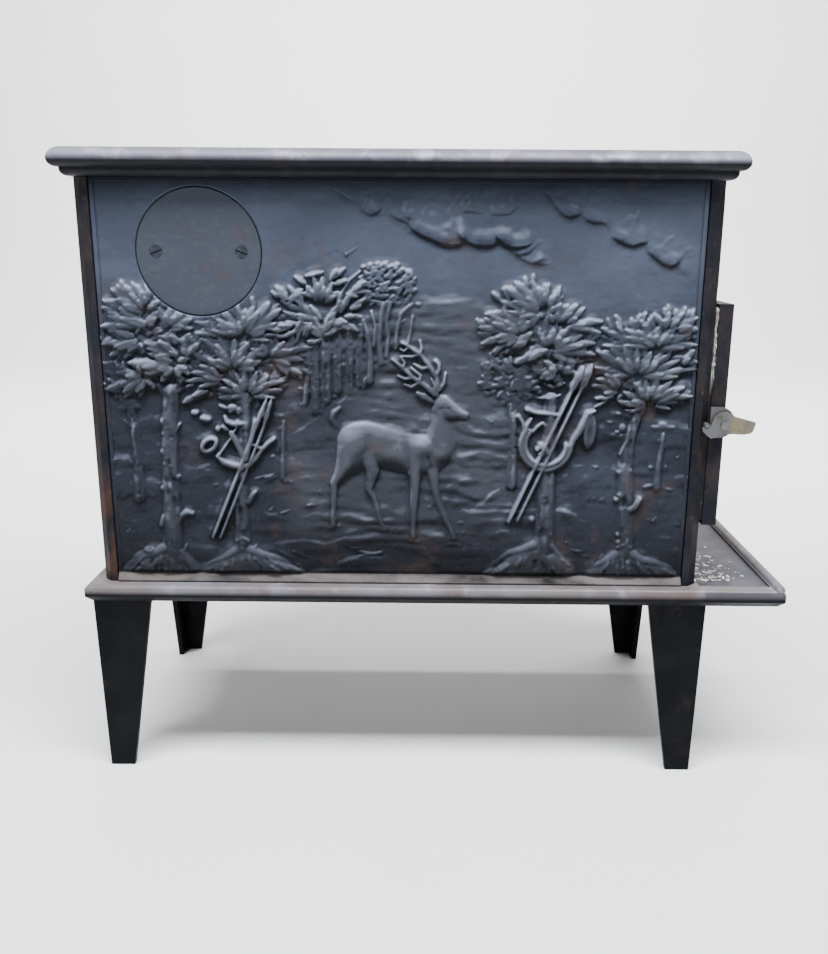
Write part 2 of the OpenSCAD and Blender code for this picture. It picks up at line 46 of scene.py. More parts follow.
panel_low, panel_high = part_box("left_side_plate")
rear_low, rear_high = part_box("rear_plate")
disc_low, disc_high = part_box("blanking_disc")
MIDDLE = Vector(((panel_low[0] + panel_high[0]) / 2, (rear_low[1] + rear_high[1]) / 2, 0)) * 1000
PLAIN_END = 6        # of the panel at each post: 5.2 mm in the groove of the post, then the seam
DISC_GAP = 1.0       # between the blanking disc and the relief round it
HALF = (panel_high[0] - panel_low[0]) * 500 - PLAIN_END      # half length of the relief
FOOT, HEAD = panel_low[2] * 1000, panel_high[2] * 1000
FIELD = disc_low[1] * 1000 - MIDDLE.y                # the panel's plain face, flush with the disc
FLUE_X = (disc_low[0] + disc_high[0]) * 500 - MIDDLE.x
FLUE_Z = (disc_low[2] + disc_high[2]) * 500
OPENING = (disc_high[0] - disc_low[0]) * 500 + DISC_GAP


def mesh_piece(name, verts, faces, body, material, smooth=True):
    """Mesh object from corners in millimetres, riding on a CAD body."""
    mesh = bpy.data.meshes.new(name)
    corners = (np.asarray(verts, float) + np.array(MIDDLE)) / 1000
    mesh.from_pydata(corners.tolist(), [], faces)
    mesh.polygons.foreach_set("use_smooth", [smooth] * len(mesh.polygons))
    mesh.materials.append(material)
    mesh.update()
    piece = bpy.data.objects.new(name, mesh)
    bpy.context.scene.collection.objects.link(piece)
    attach(piece, body)
    return piece


# ---- finishes ----

MIX_SHARE, MIX_UNDER, MIX_OVER, MIX_RESULT = 0, 6, 7, 2      # sockets of a mix node for colours


class Paint:
    """A procedural finish: a base colour with layers over it, varied gloss and fine bumps."""

    def __init__(self, name, base, metallic=0.0, rough=(0.4, 0.6), gloss=0.5):
        self.material = bpy.data.materials.new(name)
        self.material.use_nodes = True
        self.tree = self.material.node_tree
        self.shader = self.tree.nodes["Principled BSDF"]
        self.shader.inputs["Metallic"].default_value = metallic
        self.shader.inputs["Specular IOR Level"].default_value = gloss
        self.place = self.add("ShaderNodeTexCoord").outputs["Object"]
        self.axes = self.add("ShaderNodeSeparateXYZ", Vector=self.place).outputs
        self.colour = (*base, 1)
        self.bump = None
        patches = self.noise(38, 5)
        self.link(self.spread(patches, 0.3, 0.7, *rough), self.shader.inputs["Roughness"])

    def add(self, kind, **inputs):
        made = self.tree.nodes.new(kind)
        for name, value in inputs.items():
            self.link(value, made.inputs[name.replace("_", " ")])
        return made

    def link(self, value, socket):
        if isinstance(value, bpy.types.NodeSocket):
            self.tree.links.new(value, socket)
        else:
            socket.default_value = value

    def noise(self, scale, detail, stretch=(1, 1, 1), warp=0.0):
        place = self.add("ShaderNodeMapping", Vector=self.place, Scale=stretch).outputs["Vector"]
        return self.add("ShaderNodeTexNoise", Vector=place, Scale=scale, Detail=detail, Roughness=0.6,
                        Distortion=warp).outputs["Fac"]

    def spread(self, value, a, b, low=0.0, high=1.0):
        return self.add("ShaderNodeMapRange", Value=value, From_Min=a, From_Max=b, To_Min=low,
                        To_Max=high).outputs["Result"]

    def times(self, a, b):
        node = self.add("ShaderNodeMath")
        node.operation = "MULTIPLY"
        self.link(a, node.inputs[0])
        self.link(b, node.inputs[1])
        return node.outputs[0]

    def layer(self, colour, scale=20, a=0.45, b=0.6, strength=1.0, stretch=(1, 1, 1), zone=(), reads=None):
        """A colour where noise, or the mesh attribute that it reads, passes from a to b.

        zone holds (axis, from, to) in metres: the colour grows from the first to the second.
        """
        if reads:
            value = self.add("ShaderNodeAttribute")
            value.attribute_name = reads
            share = self.spread(value.outputs["Fac"], a, b, 0, strength)
        else:
            share = self.spread(self.noise(scale, 7, stretch, 0.4), a, b, 0, strength)
        for axis, start, end in zone:
            share = self.times(share, self.spread(self.axes[axis], start, end))
        mix = self.add("ShaderNodeMix")
        mix.data_type = "RGBA"
        self.link(share, mix.inputs[MIX_SHARE])
        self.link(self.colour, mix.inputs[MIX_UNDER])
        self.link((*colour, 1), mix.inputs[MIX_OVER])
        self.colour = mix.outputs[MIX_RESULT]
        return self

    def grain(self, scale, depth, strength, stretch=(1, 1, 1)):
        """Bumps of about 1 / scale metres, depth millimetres deep."""
        bump = self.add("ShaderNodeBump", Height=self.noise(scale, 4, stretch), Strength=strength,
                        Distance=depth / 1000)
        if self.bump:
            self.link(self.bump, bump.inputs["Normal"])
        self.bump = bump.outputs["Normal"]
        return self

    def done(self):
        self.link(self.colour, self.shader.inputs["Base Color"])
        if self.bump:
            self.link(self.bump, self.shader.inputs["Normal"])
        return self.material


def x_zone(start, end):
    """Zone along the stove, between places in millimetres from the middle of the body."""
    return 0, (start + MIDDLE.x) / 1000, (end + MIDDLE.x) / 1000


def z_zone(start, end):
    """Zone between two heights in millimetres."""
    return 2, start / 1000, end / 1000


RUST = (0.085, 0.034, 0.016)
BROWN = (0.060, 0.038, 0.031)
BLACK = (0.003, 0.0035, 0.005)
panel_iron = (
    Paint("panel_iron", (0.040, 0.048, 0.070), 0.15, (0.45, 0.62), 0.07)
    .layer((0.060, 0.071, 0.102), 7, 0.42, 0.62, 0.8, (1, 1, 1.6))
    .layer((0.012, 0.013, 0.018), 6, 0.2, 0.5, 0.85, zone=[z_zone(515, 430)])
    .layer((0.060, 0.064, 0.078), reads="raised", a=3.4, b=6.2, strength=0.8)
    .layer((0.042, 0.045, 0.056), 9, 0.3, 0.55, 0.7,
           zone=[x_zone(-125, -95), x_zone(140, 110), z_zone(245, 265), z_zone(500, 480)])
    # painted shade: near black in recesses and on down-facing slopes of the relief
    .layer(BLACK, reads="hollow", a=0.1, b=1.1, strength=0.9)
    # painted highlight: pale bluish on crests and up-facing slopes of the relief
    .layer((0.21, 0.23, 0.30), reads="painted_light", a=0.35, b=2.0, strength=0.75)
    .layer((0.004, 0.004, 0.005), 7, 0.05, 0.4, 0.78, zone=[z_zone(320, 225)])
    .layer((0.17, 0.15, 0.145), 40, 0.25, 0.6, 0.75, (0.4, 1, 1), zone=[z_zone(219, 216)])
    .layer(BLACK, 5, 0.0, 0.1, 0.8, zone=[z_zone(210.5, 209)])
    # painted shadow: near black along the top of the panel, under the top plate
    .layer(BLACK, 5, 0.0, 0.1, 0.85, zone=[z_zone(582, 598)])
    .layer((0.08, 0.088, 0.105), 420, 0.55, 0.78, 0.15)
    .layer(BROWN, 18, 0.57, 0.7, 0.4)
    .grain(160, 0.3, 0.6)
    .grain(600, 0.15, 0.7)
    .done()
)
disc_iron = (
    Paint("disc_iron", (0.040, 0.046, 0.062), 0.2, (0.42, 0.6), 0.15)
    .layer((0.046, 0.052, 0.070), 9, 0.4, 0.6, 0.7)
    .layer((0.056, 0.061, 0.076), 110, 0.5, 0.65, 0.5, (1, 1, 2))
    .layer(BROWN, 30, 0.55, 0.7, 0.4)
    .layer((0.08, 0.088, 0.105), 420, 0.55, 0.75, 0.2)
    .grain(150, 0.2, 0.5, (1, 1, 3))
    .grain(800, 0.1, 0.5)
    .done()
)
screw_iron = (
    Paint("screw_iron", (0.020, 0.023, 0.032), 0.2, (0.4, 0.6), 0.15)
    .layer((0.050, 0.055, 0.070), 180, 0.45, 0.65, 0.8)
    .layer(BROWN, 90, 0.55, 0.7, 0.6)
    .grain(500, 0.15, 0.6)
    .done()
)
body_iron = (
    Paint("body_iron", (0.006, 0.007, 0.010), 0.1, (0.45, 0.65), 0.07)
    .layer((0.015, 0.017, 0.024), 12, 0.4, 0.6, 0.7)
    .layer(BROWN, 24, 0.45, 0.75, 0.45, (1, 1, 0.6))
    .layer(RUST, 40, 0.44, 0.70, 0.75, (1, 1, 0.6), zone=[z_zone(400, 240), x_zone(-230, -270)])
    .layer((0.10, 0.10, 0.11), 210, 0.6, 0.75, 0.3)
    .grain(180, 0.25, 0.5)
    .grain(800, 0.12, 0.6)
    .done()
)
# the pale bluish base stands in for the sheen on the plates' rounded edges: painted highlight over iron
# that is itself dark
plate_iron = (
    Paint("plate_iron", (0.17, 0.17, 0.21), 0.2, (0.38, 0.58), 0.1)
    .layer((0.085, 0.085, 0.11), 10, 0.4, 0.62, 0.6)
    # painted highlight: whitish patches
    .layer((0.42, 0.42, 0.47), 40, 0.52, 0.7, 0.5)
    .layer((0.12, 0.085, 0.075), 26, 0.5, 0.64, 0.7, (0.5, 1, 1))
    .layer((0.13, 0.115, 0.11), 12, 0.2, 0.6, 0.8, zone=[z_zone(230, 210)])
    .layer(RUST, 14, 0.5, 0.66, 0.5, zone=[z_zone(230, 200)])
    # the top face gets the iron's own dark colour instead of the pale painted highlight
    .layer((0.035, 0.036, 0.045), 12, 0.1, 0.45, 0.85, zone=[z_zone(624, 625)])
    # painted shade: near black on the lower half of the top plate's rounded edge and the bead below it
    .layer(BLACK, 5, 0.0, 0.1, 0.95, zone=[z_zone(618, 613), z_zone(400, 410)])
    .layer((0.05, 0.05, 0.065), 9, 0.1, 0.4, 0.8, zone=[x_zone(302, 308), z_zone(207.5, 206.5)])
    # painted shade: near black on the lower part of the base plate's edge and beneath it
    .layer(BLACK, 5, 0.0, 0.1, 0.98, zone=[z_zone(203.5, 199)])
    .grain(170, 0.25, 0.5)
    .grain(800, 0.12, 0.6)
    .done()
)
leg_iron = (
    Paint("leg_iron", (0.0015, 0.002, 0.003), 0.0, (0.35, 0.55), 0.06)
    .layer((0.005, 0.006, 0.008), 14, 0.4, 0.65, 0.8)
    .layer((0.07, 0.07, 0.08), 240, 0.66, 0.74, 0.5)
    .layer((0.025, 0.016, 0.012), 30, 0.58, 0.7, 0.5)
    .grain(150, 0.3, 0.5)
    .grain(700, 0.12, 0.6)
    .done()
)
liner_iron = (
    Paint("liner_iron", (0.025, 0.022, 0.020), 0.0, (0.65, 0.85), 0.2)
    .layer((0.07, 0.058, 0.050), 14, 0.45, 0.6, 0.7)
    .layer((0.18, 0.16, 0.15), 40, 0.58, 0.7, 0.4)
    .grain(140, 0.4, 0.6)
    .grain(600, 0.2, 0.6)
    .done()
)
fastener_steel = (
    Paint("fastener_steel", (0.10, 0.098, 0.10), 0.6, (0.35, 0.55), 0.4)
    .layer((0.05, 0.036, 0.03), 90, 0.5, 0.65, 0.6)
    .layer((0.20, 0.20, 0.22), 200, 0.55, 0.7, 0.5)
    .grain(900, 0.1, 0.5)
    .done()
)
bright_steel = (
    Paint("bright_steel", (0.20, 0.20, 0.205), 0.7, (0.3, 0.45))
    .layer((0.09, 0.09, 0.095), 60, 0.4, 0.62, 0.8)
    .layer((0.10, 0.08, 0.06), 120, 0.56, 0.7, 0.7)
    .grain(500, 0.12, 0.5)
    .grain(1400, 0.05, 0.5)
    .done()
)
lever_steel = (
    Paint("lever_steel", (0.12, 0.123, 0.127), 0.7, (0.32, 0.48))
    .layer((0.22, 0.19, 0.11), 30, 0.1, 0.4, 0.85, zone=[x_zone(316, 322)])
    .layer((0.12, 0.12, 0.125), 80, 0.45, 0.62, 0.7)
    .layer((0.08, 0.055, 0.035), 150, 0.56, 0.7, 0.7)
    .grain(260, 0.3, 0.5)
    .grain(1300, 0.06, 0.5)
    .done()
)
rope_cloth = (
    Paint("rope_cloth", (0.36, 0.35, 0.32), 0.0, (0.8, 0.95), 0.2)
    .layer((0.14, 0.13, 0.12), 60, 0.45, 0.62, 0.7)
    .layer((0.50, 0.49, 0.47), 160, 0.5, 0.66, 0.6)
    .layer((0.022, 0.021, 0.022), 60, 0.1, 0.4, 0.95, zone=[z_zone(415, 400)])
    .grain(500, 0.5, 0.7)
    .done()
)
flake_ash = (
    Paint("flake_ash", (0.52, 0.52, 0.51), 0.0, (0.6, 0.8), 0.3)
    .layer((0.36, 0.28, 0.18), 120, 0.5, 0.6, 0.7)
    .layer((0.14, 0.14, 0.14), 200, 0.55, 0.65, 0.8)
    .grain(900, 0.2, 0.5)
    .done()
)

by_slot = {
    "panel_iron": panel_iron, "body_iron": body_iron, "plate_iron": plate_iron, "leg_iron": leg_iron,
    "liner_iron": liner_iron, "fastener_steel": fastener_steel, "bright_steel": bright_steel,
    "rope_seal": rope_cloth,
}
slot_of = {s["node"]: s["material_slot"] for s in frame["record"]["subparts"]}
other_finish = {"blanking_disc": disc_iron, "blanking_disc_screws": screw_iron,
                "latch_bracket": fastener_steel, "latch_lever": lever_steel}
soft_edge = {"top_plate": 0.5, "base_plate": 0.5, "latch_lever": 0.7, "latch_bracket": 0.4,
             "latch_rivet": 0.6, "blanking_disc_screws": 0.3, "hinge_pins": 0.5, "latch_catch": 0.4}
for name, node in frame["nodes"].items():
    node.data.materials.clear()
    node.data.materials.append(other_finish.get(name, by_slot[slot_of[name]]))
    weld = node.modifiers.new("weld", "WELD")
    weld.merge_threshold = 1e-5
    bevel = node.modifiers.new("bevel", "BEVEL")
    bevel.width = soft_edge.get(name, 0.8) / 1000
    bevel.segments = 2
    bevel.limit_method = "ANGLE"
    bevel.angle_limit = math.radians(35)
    bevel.use_clamp_overlap = True
    bevel.harden_normals = True


# ---- hunting scene in relief ----

VEIN_STEP = 4.2      # between the side veins of a leaf
RIB_WIDTH = 0.9      # of a leaf's midrib


class Relief:
    """Height field in millimetres over a panel: x from the panel's middle, z above the floor."""

    def __init__(self, x0, x1, z0, z1, step, seed):
        self.x = np.linspace(x0, x1, round((x1 - x0) / step) + 1)
        self.z = np.linspace(z0, z1, round((z1 - z0) / step) + 1)
        self.h = np.zeros((len(self.z), len(self.x)))
        self.rng = np.random.default_rng(seed)
        self.base = 0.0      # lift under strokes, blobs and leaves, for what hangs in front

    def window(self, xs, zs, pad):
        i0, i1 = np.searchsorted(self.x, [min(xs) - pad, max(xs) + pad])
        k0, k1 = np.searchsorted(self.z, [min(zs) - pad, max(zs) + pad])
        X, Z = np.meshgrid(self.x[i0:i1], self.z[k0:k1])
        return self.h[k0:k1, i0:i1], X, Z

    def noise(self, size, rows=None):
        """Smooth random field between about -1 and 1, with bumps of size mm (rows: their height)."""
        def ramp(v, cell):
            t = (v - v[0]) / cell
            i = np.floor(t).astype(int)
            f = t - i
            return i, f * f * (3 - 2 * f)
        ix, fx = ramp(self.x, size)
        iz, fz = ramp(self.z, rows or size)
        g = self.rng.uniform(-1, 1, (iz[-1] + 2, ix[-1] + 2))
        fx, fz = fx[None, :], fz[:, None]
        a = g[iz][:, ix] * (1 - fx) + g[iz][:, ix + 1] * fx
        b = g[iz + 1][:, ix] * (1 - fx) + g[iz + 1][:, ix + 1] * fx
        return a * (1 - fz) + b * fz

    def stroke(self, pts, r, h, lift=0.0, add=False, power=0.5):
        """Tapered round bar through pts. r and h are one number or one per point."""
        p = np.array(pts, float)
        r, h = np.broadcast_to(r, len(p)), np.broadcast_to(h, len(p))
        H, X, Z = self.window(p[:, 0], p[:, 1], max(r) + 1)
        best, top = np.full(X.shape, 9.0), np.zeros(X.shape)
        for i in range(len(p) - 1):
            a, d = p[i], p[i + 1] - p[i]
            t = np.clip(((X - a[0]) * d[0] + (Z - a[1]) * d[1]) / (d @ d + 1e-9), 0, 1)
            q = np.hypot(X - a[0] - t * d[0], Z - a[1] - t * d[1]) / (r[i] + t * (r[i + 1] - r[i]))
            near = q < best
            best = np.where(near, q, best)
            top = np.where(near, h[i] + t * (h[i + 1] - h[i]), top)
        v = top * np.clip(1 - best**2, 0, 1) ** (power * (1 + add))
        if add:
            H += v
        else:
            np.maximum(H, self.base + lift + v, out=H, where=best < 1)

    def blob(self, x, z, rx, rz, h, turn=0, lift=0.0, add=False, power=0.5):
        """Dome over an ellipse, turned by turn degrees."""
        c, s = math.cos(math.radians(turn)), math.sin(math.radians(turn))
        H, X, Z = self.window([x], [z], max(rx, rz) + 1)
        q = np.hypot(((X - x) * c + (Z - z) * s) / rx, (-(X - x) * s + (Z - z) * c) / rz)
        v = h * np.clip(1 - q**2, 0, 1) ** (power * (1 + add))
        if add:
            H += v
        else:
            np.maximum(H, self.base + lift + v, out=H, where=q < 1)

    def ridge(self, pts, r, h):
        """Soft bar added to what is there; a negative h makes a groove."""
        self.stroke(pts, r, h, add=True, power=1)

    def swell(self, x, z, rx, rz, h, turn=0):
        """Soft dome added to what is there; a negative h makes a dip."""
        self.blob(x, z, rx, rz, h, turn, add=True, power=1)

    def blobs(self, rows, h, lift):
        """Domes of one height. Each row: x, z, rx, rz, turn in degrees."""
        for x, z, rx, rz, turn in rows:
            self.blob(x, z, rx, rz, h, turn, lift)

    def crowns(self, rows, h):
        """Tufts of a crown, each a low dome under small leaves. Each row: x, z, rx, rz."""
        for x, z, rx, rz in rows:
            self.blob(x, z, rx, rz, h)
            self.fill(x, z, rx, rz)

    def area(self, pts, h, r, lift):
        """Polygon with an edge rounded over r mm."""
        p = np.array(pts, float)
        H, X, Z = self.window(p[:, 0], p[:, 1], 1)
        dist, odd = np.full(X.shape, 1e9), np.zeros(X.shape, bool)
        for a, b in zip(p, np.roll(p, -1, 0)):
            d = b - a
            t = np.clip(((X - a[0]) * d[0] + (Z - a[1]) * d[1]) / (d @ d + 1e-9), 0, 1)
            dist = np.minimum(dist, np.hypot(X - a[0] - t * d[0], Z - a[1] - t * d[1]))
            cross = (a[1] > Z) != (b[1] > Z)
            odd ^= cross & (X < a[0] + (Z - a[1]) * d[0] / (d[1] + 1e-9))
        v = h * np.clip(1 - (1 - np.clip(dist / r, 0, 1)) ** 2, 0, 1) ** 0.5
        np.maximum(H, lift + v, out=H, where=odd)

    def ledge(self, pts, h, fade, side, soft, ends):
        """Step along a line that runs towards +x: the ground on one side stands h higher and fades away."""
        p = np.array(pts, float)
        H, X, Z = self.window(p[:, 0], p[:, 1], fade * 3)
        d = (Z - np.interp(X, p[:, 0], p[:, 1])) * side
        edge = np.clip(np.minimum(X - p[0, 0], p[-1, 0] - X) / ends, 0, 1)
        rise = np.clip(d / soft, 0, 1)
        H += h * edge * rise * rise * (3 - 2 * rise) * np.exp(-np.clip(d, 0, None) / fade)

    def leaf(self, x0, z0, x1, z1, width, lift, bend=0.0, rise=1.3):
        """Pointed leaf from its stalk at x0, z0 to its tip, with a midrib and side veins."""
        dx, dz = x1 - x0, z1 - z0
        length = math.hypot(dx, dz)
        c, s = dx / length, dz / length
        H, X, Z = self.window([x0, x1], [z0, z1], width / 2 + abs(bend) + 1)
        u = ((X - x0) * c + (Z - z0) * s) / length
        v = -(X - x0) * s + (Z - z0) * c - bend * np.sin(math.pi * np.clip(u, 0, 1))
        w = width * 0.42 * np.sin(math.pi * np.clip(u, 0, 1)) ** 0.5 + 1e-6
        w *= 1 + 0.10 * np.sin(u * 17 + x0 + z1)
        q = np.clip(np.abs(v) / w, 0, 1)
        inside = (u > 0) & (u < 1) & (q < 1)
        dome = 1.35 * rise * (1 - q**2) ** 0.8
        veins = 0.12 * np.cos(2 * math.pi * (u * length - np.abs(v) * 0.9) / VEIN_STEP) * q * (1 - q) * 3
        rib = -0.55 * np.exp(-((v / RIB_WIDTH) ** 2)) * np.clip(1.1 - u, 0, 1)
        lean = 0.7 * np.clip(v / w, -1, 1) * self.rng.uniform(-1, 1)
        curl = (1.5 * np.clip(u, 0, 1) - 0.6) * self.rng.uniform(0.3, 1.1)
        np.maximum(H, self.base + lift + dome + veins + rib + lean + curl, out=H, where=inside)

    def leaves(self, rows, lift, order=0.0):
        """Each row: stalk x, z, tip x, z, width, bend. Later rows lie higher by order."""
        for i, (x0, z0, x1, z1, w, *bend) in enumerate(rows):
            self.leaf(x0, z0, x1, z1, w, lift + i * order + self.rng.uniform(-0.3, 0.3), *bend)
        # shorter leaves on top of them
        for i, (x0, z0, x1, z1, w, *bend) in enumerate(rows):
            turn, size = self.rng.uniform(-0.35, 0.35), self.rng.uniform(0.5, 0.72)
            dx, dz = (x1 - x0) * size, (z1 - z0) * size
            self.leaf(x0, z0, x0 + dx * math.cos(turn) - dz * math.sin(turn),
                      z0 + dx * math.sin(turn) + dz * math.cos(turn), w * 0.85, lift + i * order + 0.9)

    def clump(self, x, z, rx, rz, n, size, lift):
        """Knobbly mass of small lobed leaves."""
        for _ in range(n):
            a, q = self.rng.uniform(0, 2 * math.pi), self.rng.uniform(0, 1) ** 0.5
            px, pz = x + rx * q * math.cos(a), z + rz * q * math.sin(a)
            s = size * self.rng.uniform(0.7, 1.2)
            self.blob(px, pz, s, s * 0.55, 1.1, self.rng.uniform(-50, 50),
                      lift + 0.8 * (1 - q) + self.rng.uniform(0, 0.7))

    def fill(self, x, z, rx, rz):
        """Small leaves that spread from the middle of a tuft and close the gaps between large ones."""
        for _ in range(int(rx * rz / 13)):
            a, q = self.rng.uniform(0, 2 * math.pi), self.rng.uniform(0, 0.85) ** 0.6
            px, pz = x + rx * q * math.cos(a), z + rz * q * math.sin(a)
            a += self.rng.normal(0, 0.5)
            n = self.rng.uniform(8, 13)
            self.leaf(px, pz, px + n * math.cos(a), pz + n * (0.25 + math.sin(a)), 6.5,
                      0.8 + self.rng.uniform(0, 1.3))

    def along(self, p):
        """A random place on the line through p, and the number of its stretch."""
        t = self.rng.uniform(0, 1) * (len(p) - 1)
        i = min(int(t), len(p) - 2)
        return p[i] + (p[i + 1] - p[i]) * (t - i), i

    def trunk(self, pts, r, h, knots=()):
        """Bark: a bar with lengthwise furrows, burls and knots. Each knot: x, z, rx, rz."""
        self.stroke(pts, r, 0.9 * h, 1.3)
        p = np.array(pts, float)
        rr = np.broadcast_to(r, len(p))
        # furrows and ridges
        for _ in range(int(2 + abs(p[-1, 1] - p[0, 1]) / 5)):
            spot, i = self.along(p)
            off = self.rng.uniform(-0.7, 0.7) * rr[i]
            n = self.rng.uniform(6, 16)
            self.stroke([(spot[0] + off, spot[1] - n), (spot[0] + off * 1.05, spot[1] + n)], 2.6,
                        self.rng.choice([-0.6, 0.35]), add=True)
        length = math.hypot(*(p[-1] - p[0]))
        # burls
        for _ in range(int(length / 9)):
            spot, i = self.along(p)
            size = rr[i] * self.rng.uniform(0.4, 0.65)
            self.swell(spot[0] + self.rng.uniform(-0.6, 0.6) * rr[i], spot[1], size, size * 1.3,
                      self.rng.choice([-1.2, 0.8]))
        for x, z, rx, rz in knots:
            self.blob(x, z, rx, rz, 2.0, lift=2.8)


def clouds(g):
    for pts, h, fade in [([(-62, 591), (-52, 586), (-44, 581), (-36, 578)], 0.9, 5),
            ([(-35, 573), (-30, 569), (-26, 567), (-21, 569), (-15, 573)], 1.2, 6),
            ([(-10, 569), (-3, 565), (5, 562), (12, 557)], 1.2, 5),
            ([(1, 568), (9, 565), (18, 563)], 0.7, 3), ([(9, 558), (15, 553), (22, 549), (32, 545),
            (40, 541.5), (48, 540), (56, 541), (62, 546)], 2.0, 10), ([(53, 553), (58, 547.5), (63, 544),
            (70, 541), (78, 540), (86, 540.5), (93, 544)], 1.8, 9), ([(88, 551), (94, 545), (99, 541),
            (105, 539), (112, 539), (119, 540.5), (125, 543)], 1.9, 9),
            ([(104, 537), (108, 533), (113, 532), (120, 534), (127, 539)], 1.0, 3),
            ([(110, 531), (116, 528), (123, 525), (130, 527), (137, 531)], 1.0, 2.6),
            ([(124, 526), (133, 524), (142, 524)], 0.9, 2.4),
            ([(57, 571), (66, 571), (76, 569.5), (81, 569)], 1.2, 4),
            ([(81, 569), (86, 569), (94, 568.5), (102, 569), (106, 573), (109, 579)], 1.2, 5),
            ([(132, 590), (138, 586), (142, 581), (145, 576), (149, 571), (153, 568), (158, 566.5),
              (163, 568), (169, 569)], 1.3, 7), ([(169, 568), (175, 563.5), (180, 562), (186, 562),
            (191, 561), (196, 555)], 1.3, 6), ([(195, 550), (203, 546.5), (210, 543), (217, 541),
            (223, 543), (232, 545)], 1.6, 7), ([(230, 537), (236, 533), (241, 529), (246, 525.5),
            (252, 523), (258, 524.5), (262, 528)], 1.6, 7),
            ([(261, 524), (266, 517), (270, 514)], 0.9, 4),]:
        g.ledge(pts, 1.3 * h, 1.5 * fade, side=1, soft=1.2, ends=5)
        for x, z in pts[1:-1]:
            size = g.rng.uniform(0.8, 1.5) * (4 + 0.5 * fade)
            g.swell(x + g.rng.uniform(-4, 4), z + size * 0.9, size, 0.8 * size, 0.32 * h, -20)
            g.swell(x + g.rng.uniform(-9, 9), z + size * 2.2, size, 0.7 * size, 0.22 * h, 20)
    for pts in [
        [(45, 558), (46, 571), (50, 582), (55, 589)], [(57, 576), (60, 584), (66, 590)],
        [(64, 577), (68, 585), (73, 590)], [(71, 578), (76, 587), (80, 590)], [(48, 556), (49, 568)],
        [(173, 578), (176, 586), (180, 591), (188, 594)], [(194, 570), (200, 580)],
        [(215, 556), (218, 565), (221, 572)], [(244, 542), (249, 547), (254, 550)],
        [(261, 531), (265, 537), (271, 540)], [(-14, 570), (-14, 577), (-11, 584)],
        [(4, 571), (6, 577), (11, 582)], [(22, 568), (25, 575), (30, 580)], [(-33, 576), (-29, 583)],
        [(112, 535), (120, 537), (130, 545)], [(126, 527), (136, 530)],
    ]:
        g.ridge(pts, 3.2, 0.5)
    # little star of twigs in the sky
    for x, z in [(-47, 545), (-55, 542), (-40, 538), (-35, 541), (-58, 537)]:
        g.ridge([(-49, 532), (x, z)], [1.4, 0.7], 0.55)


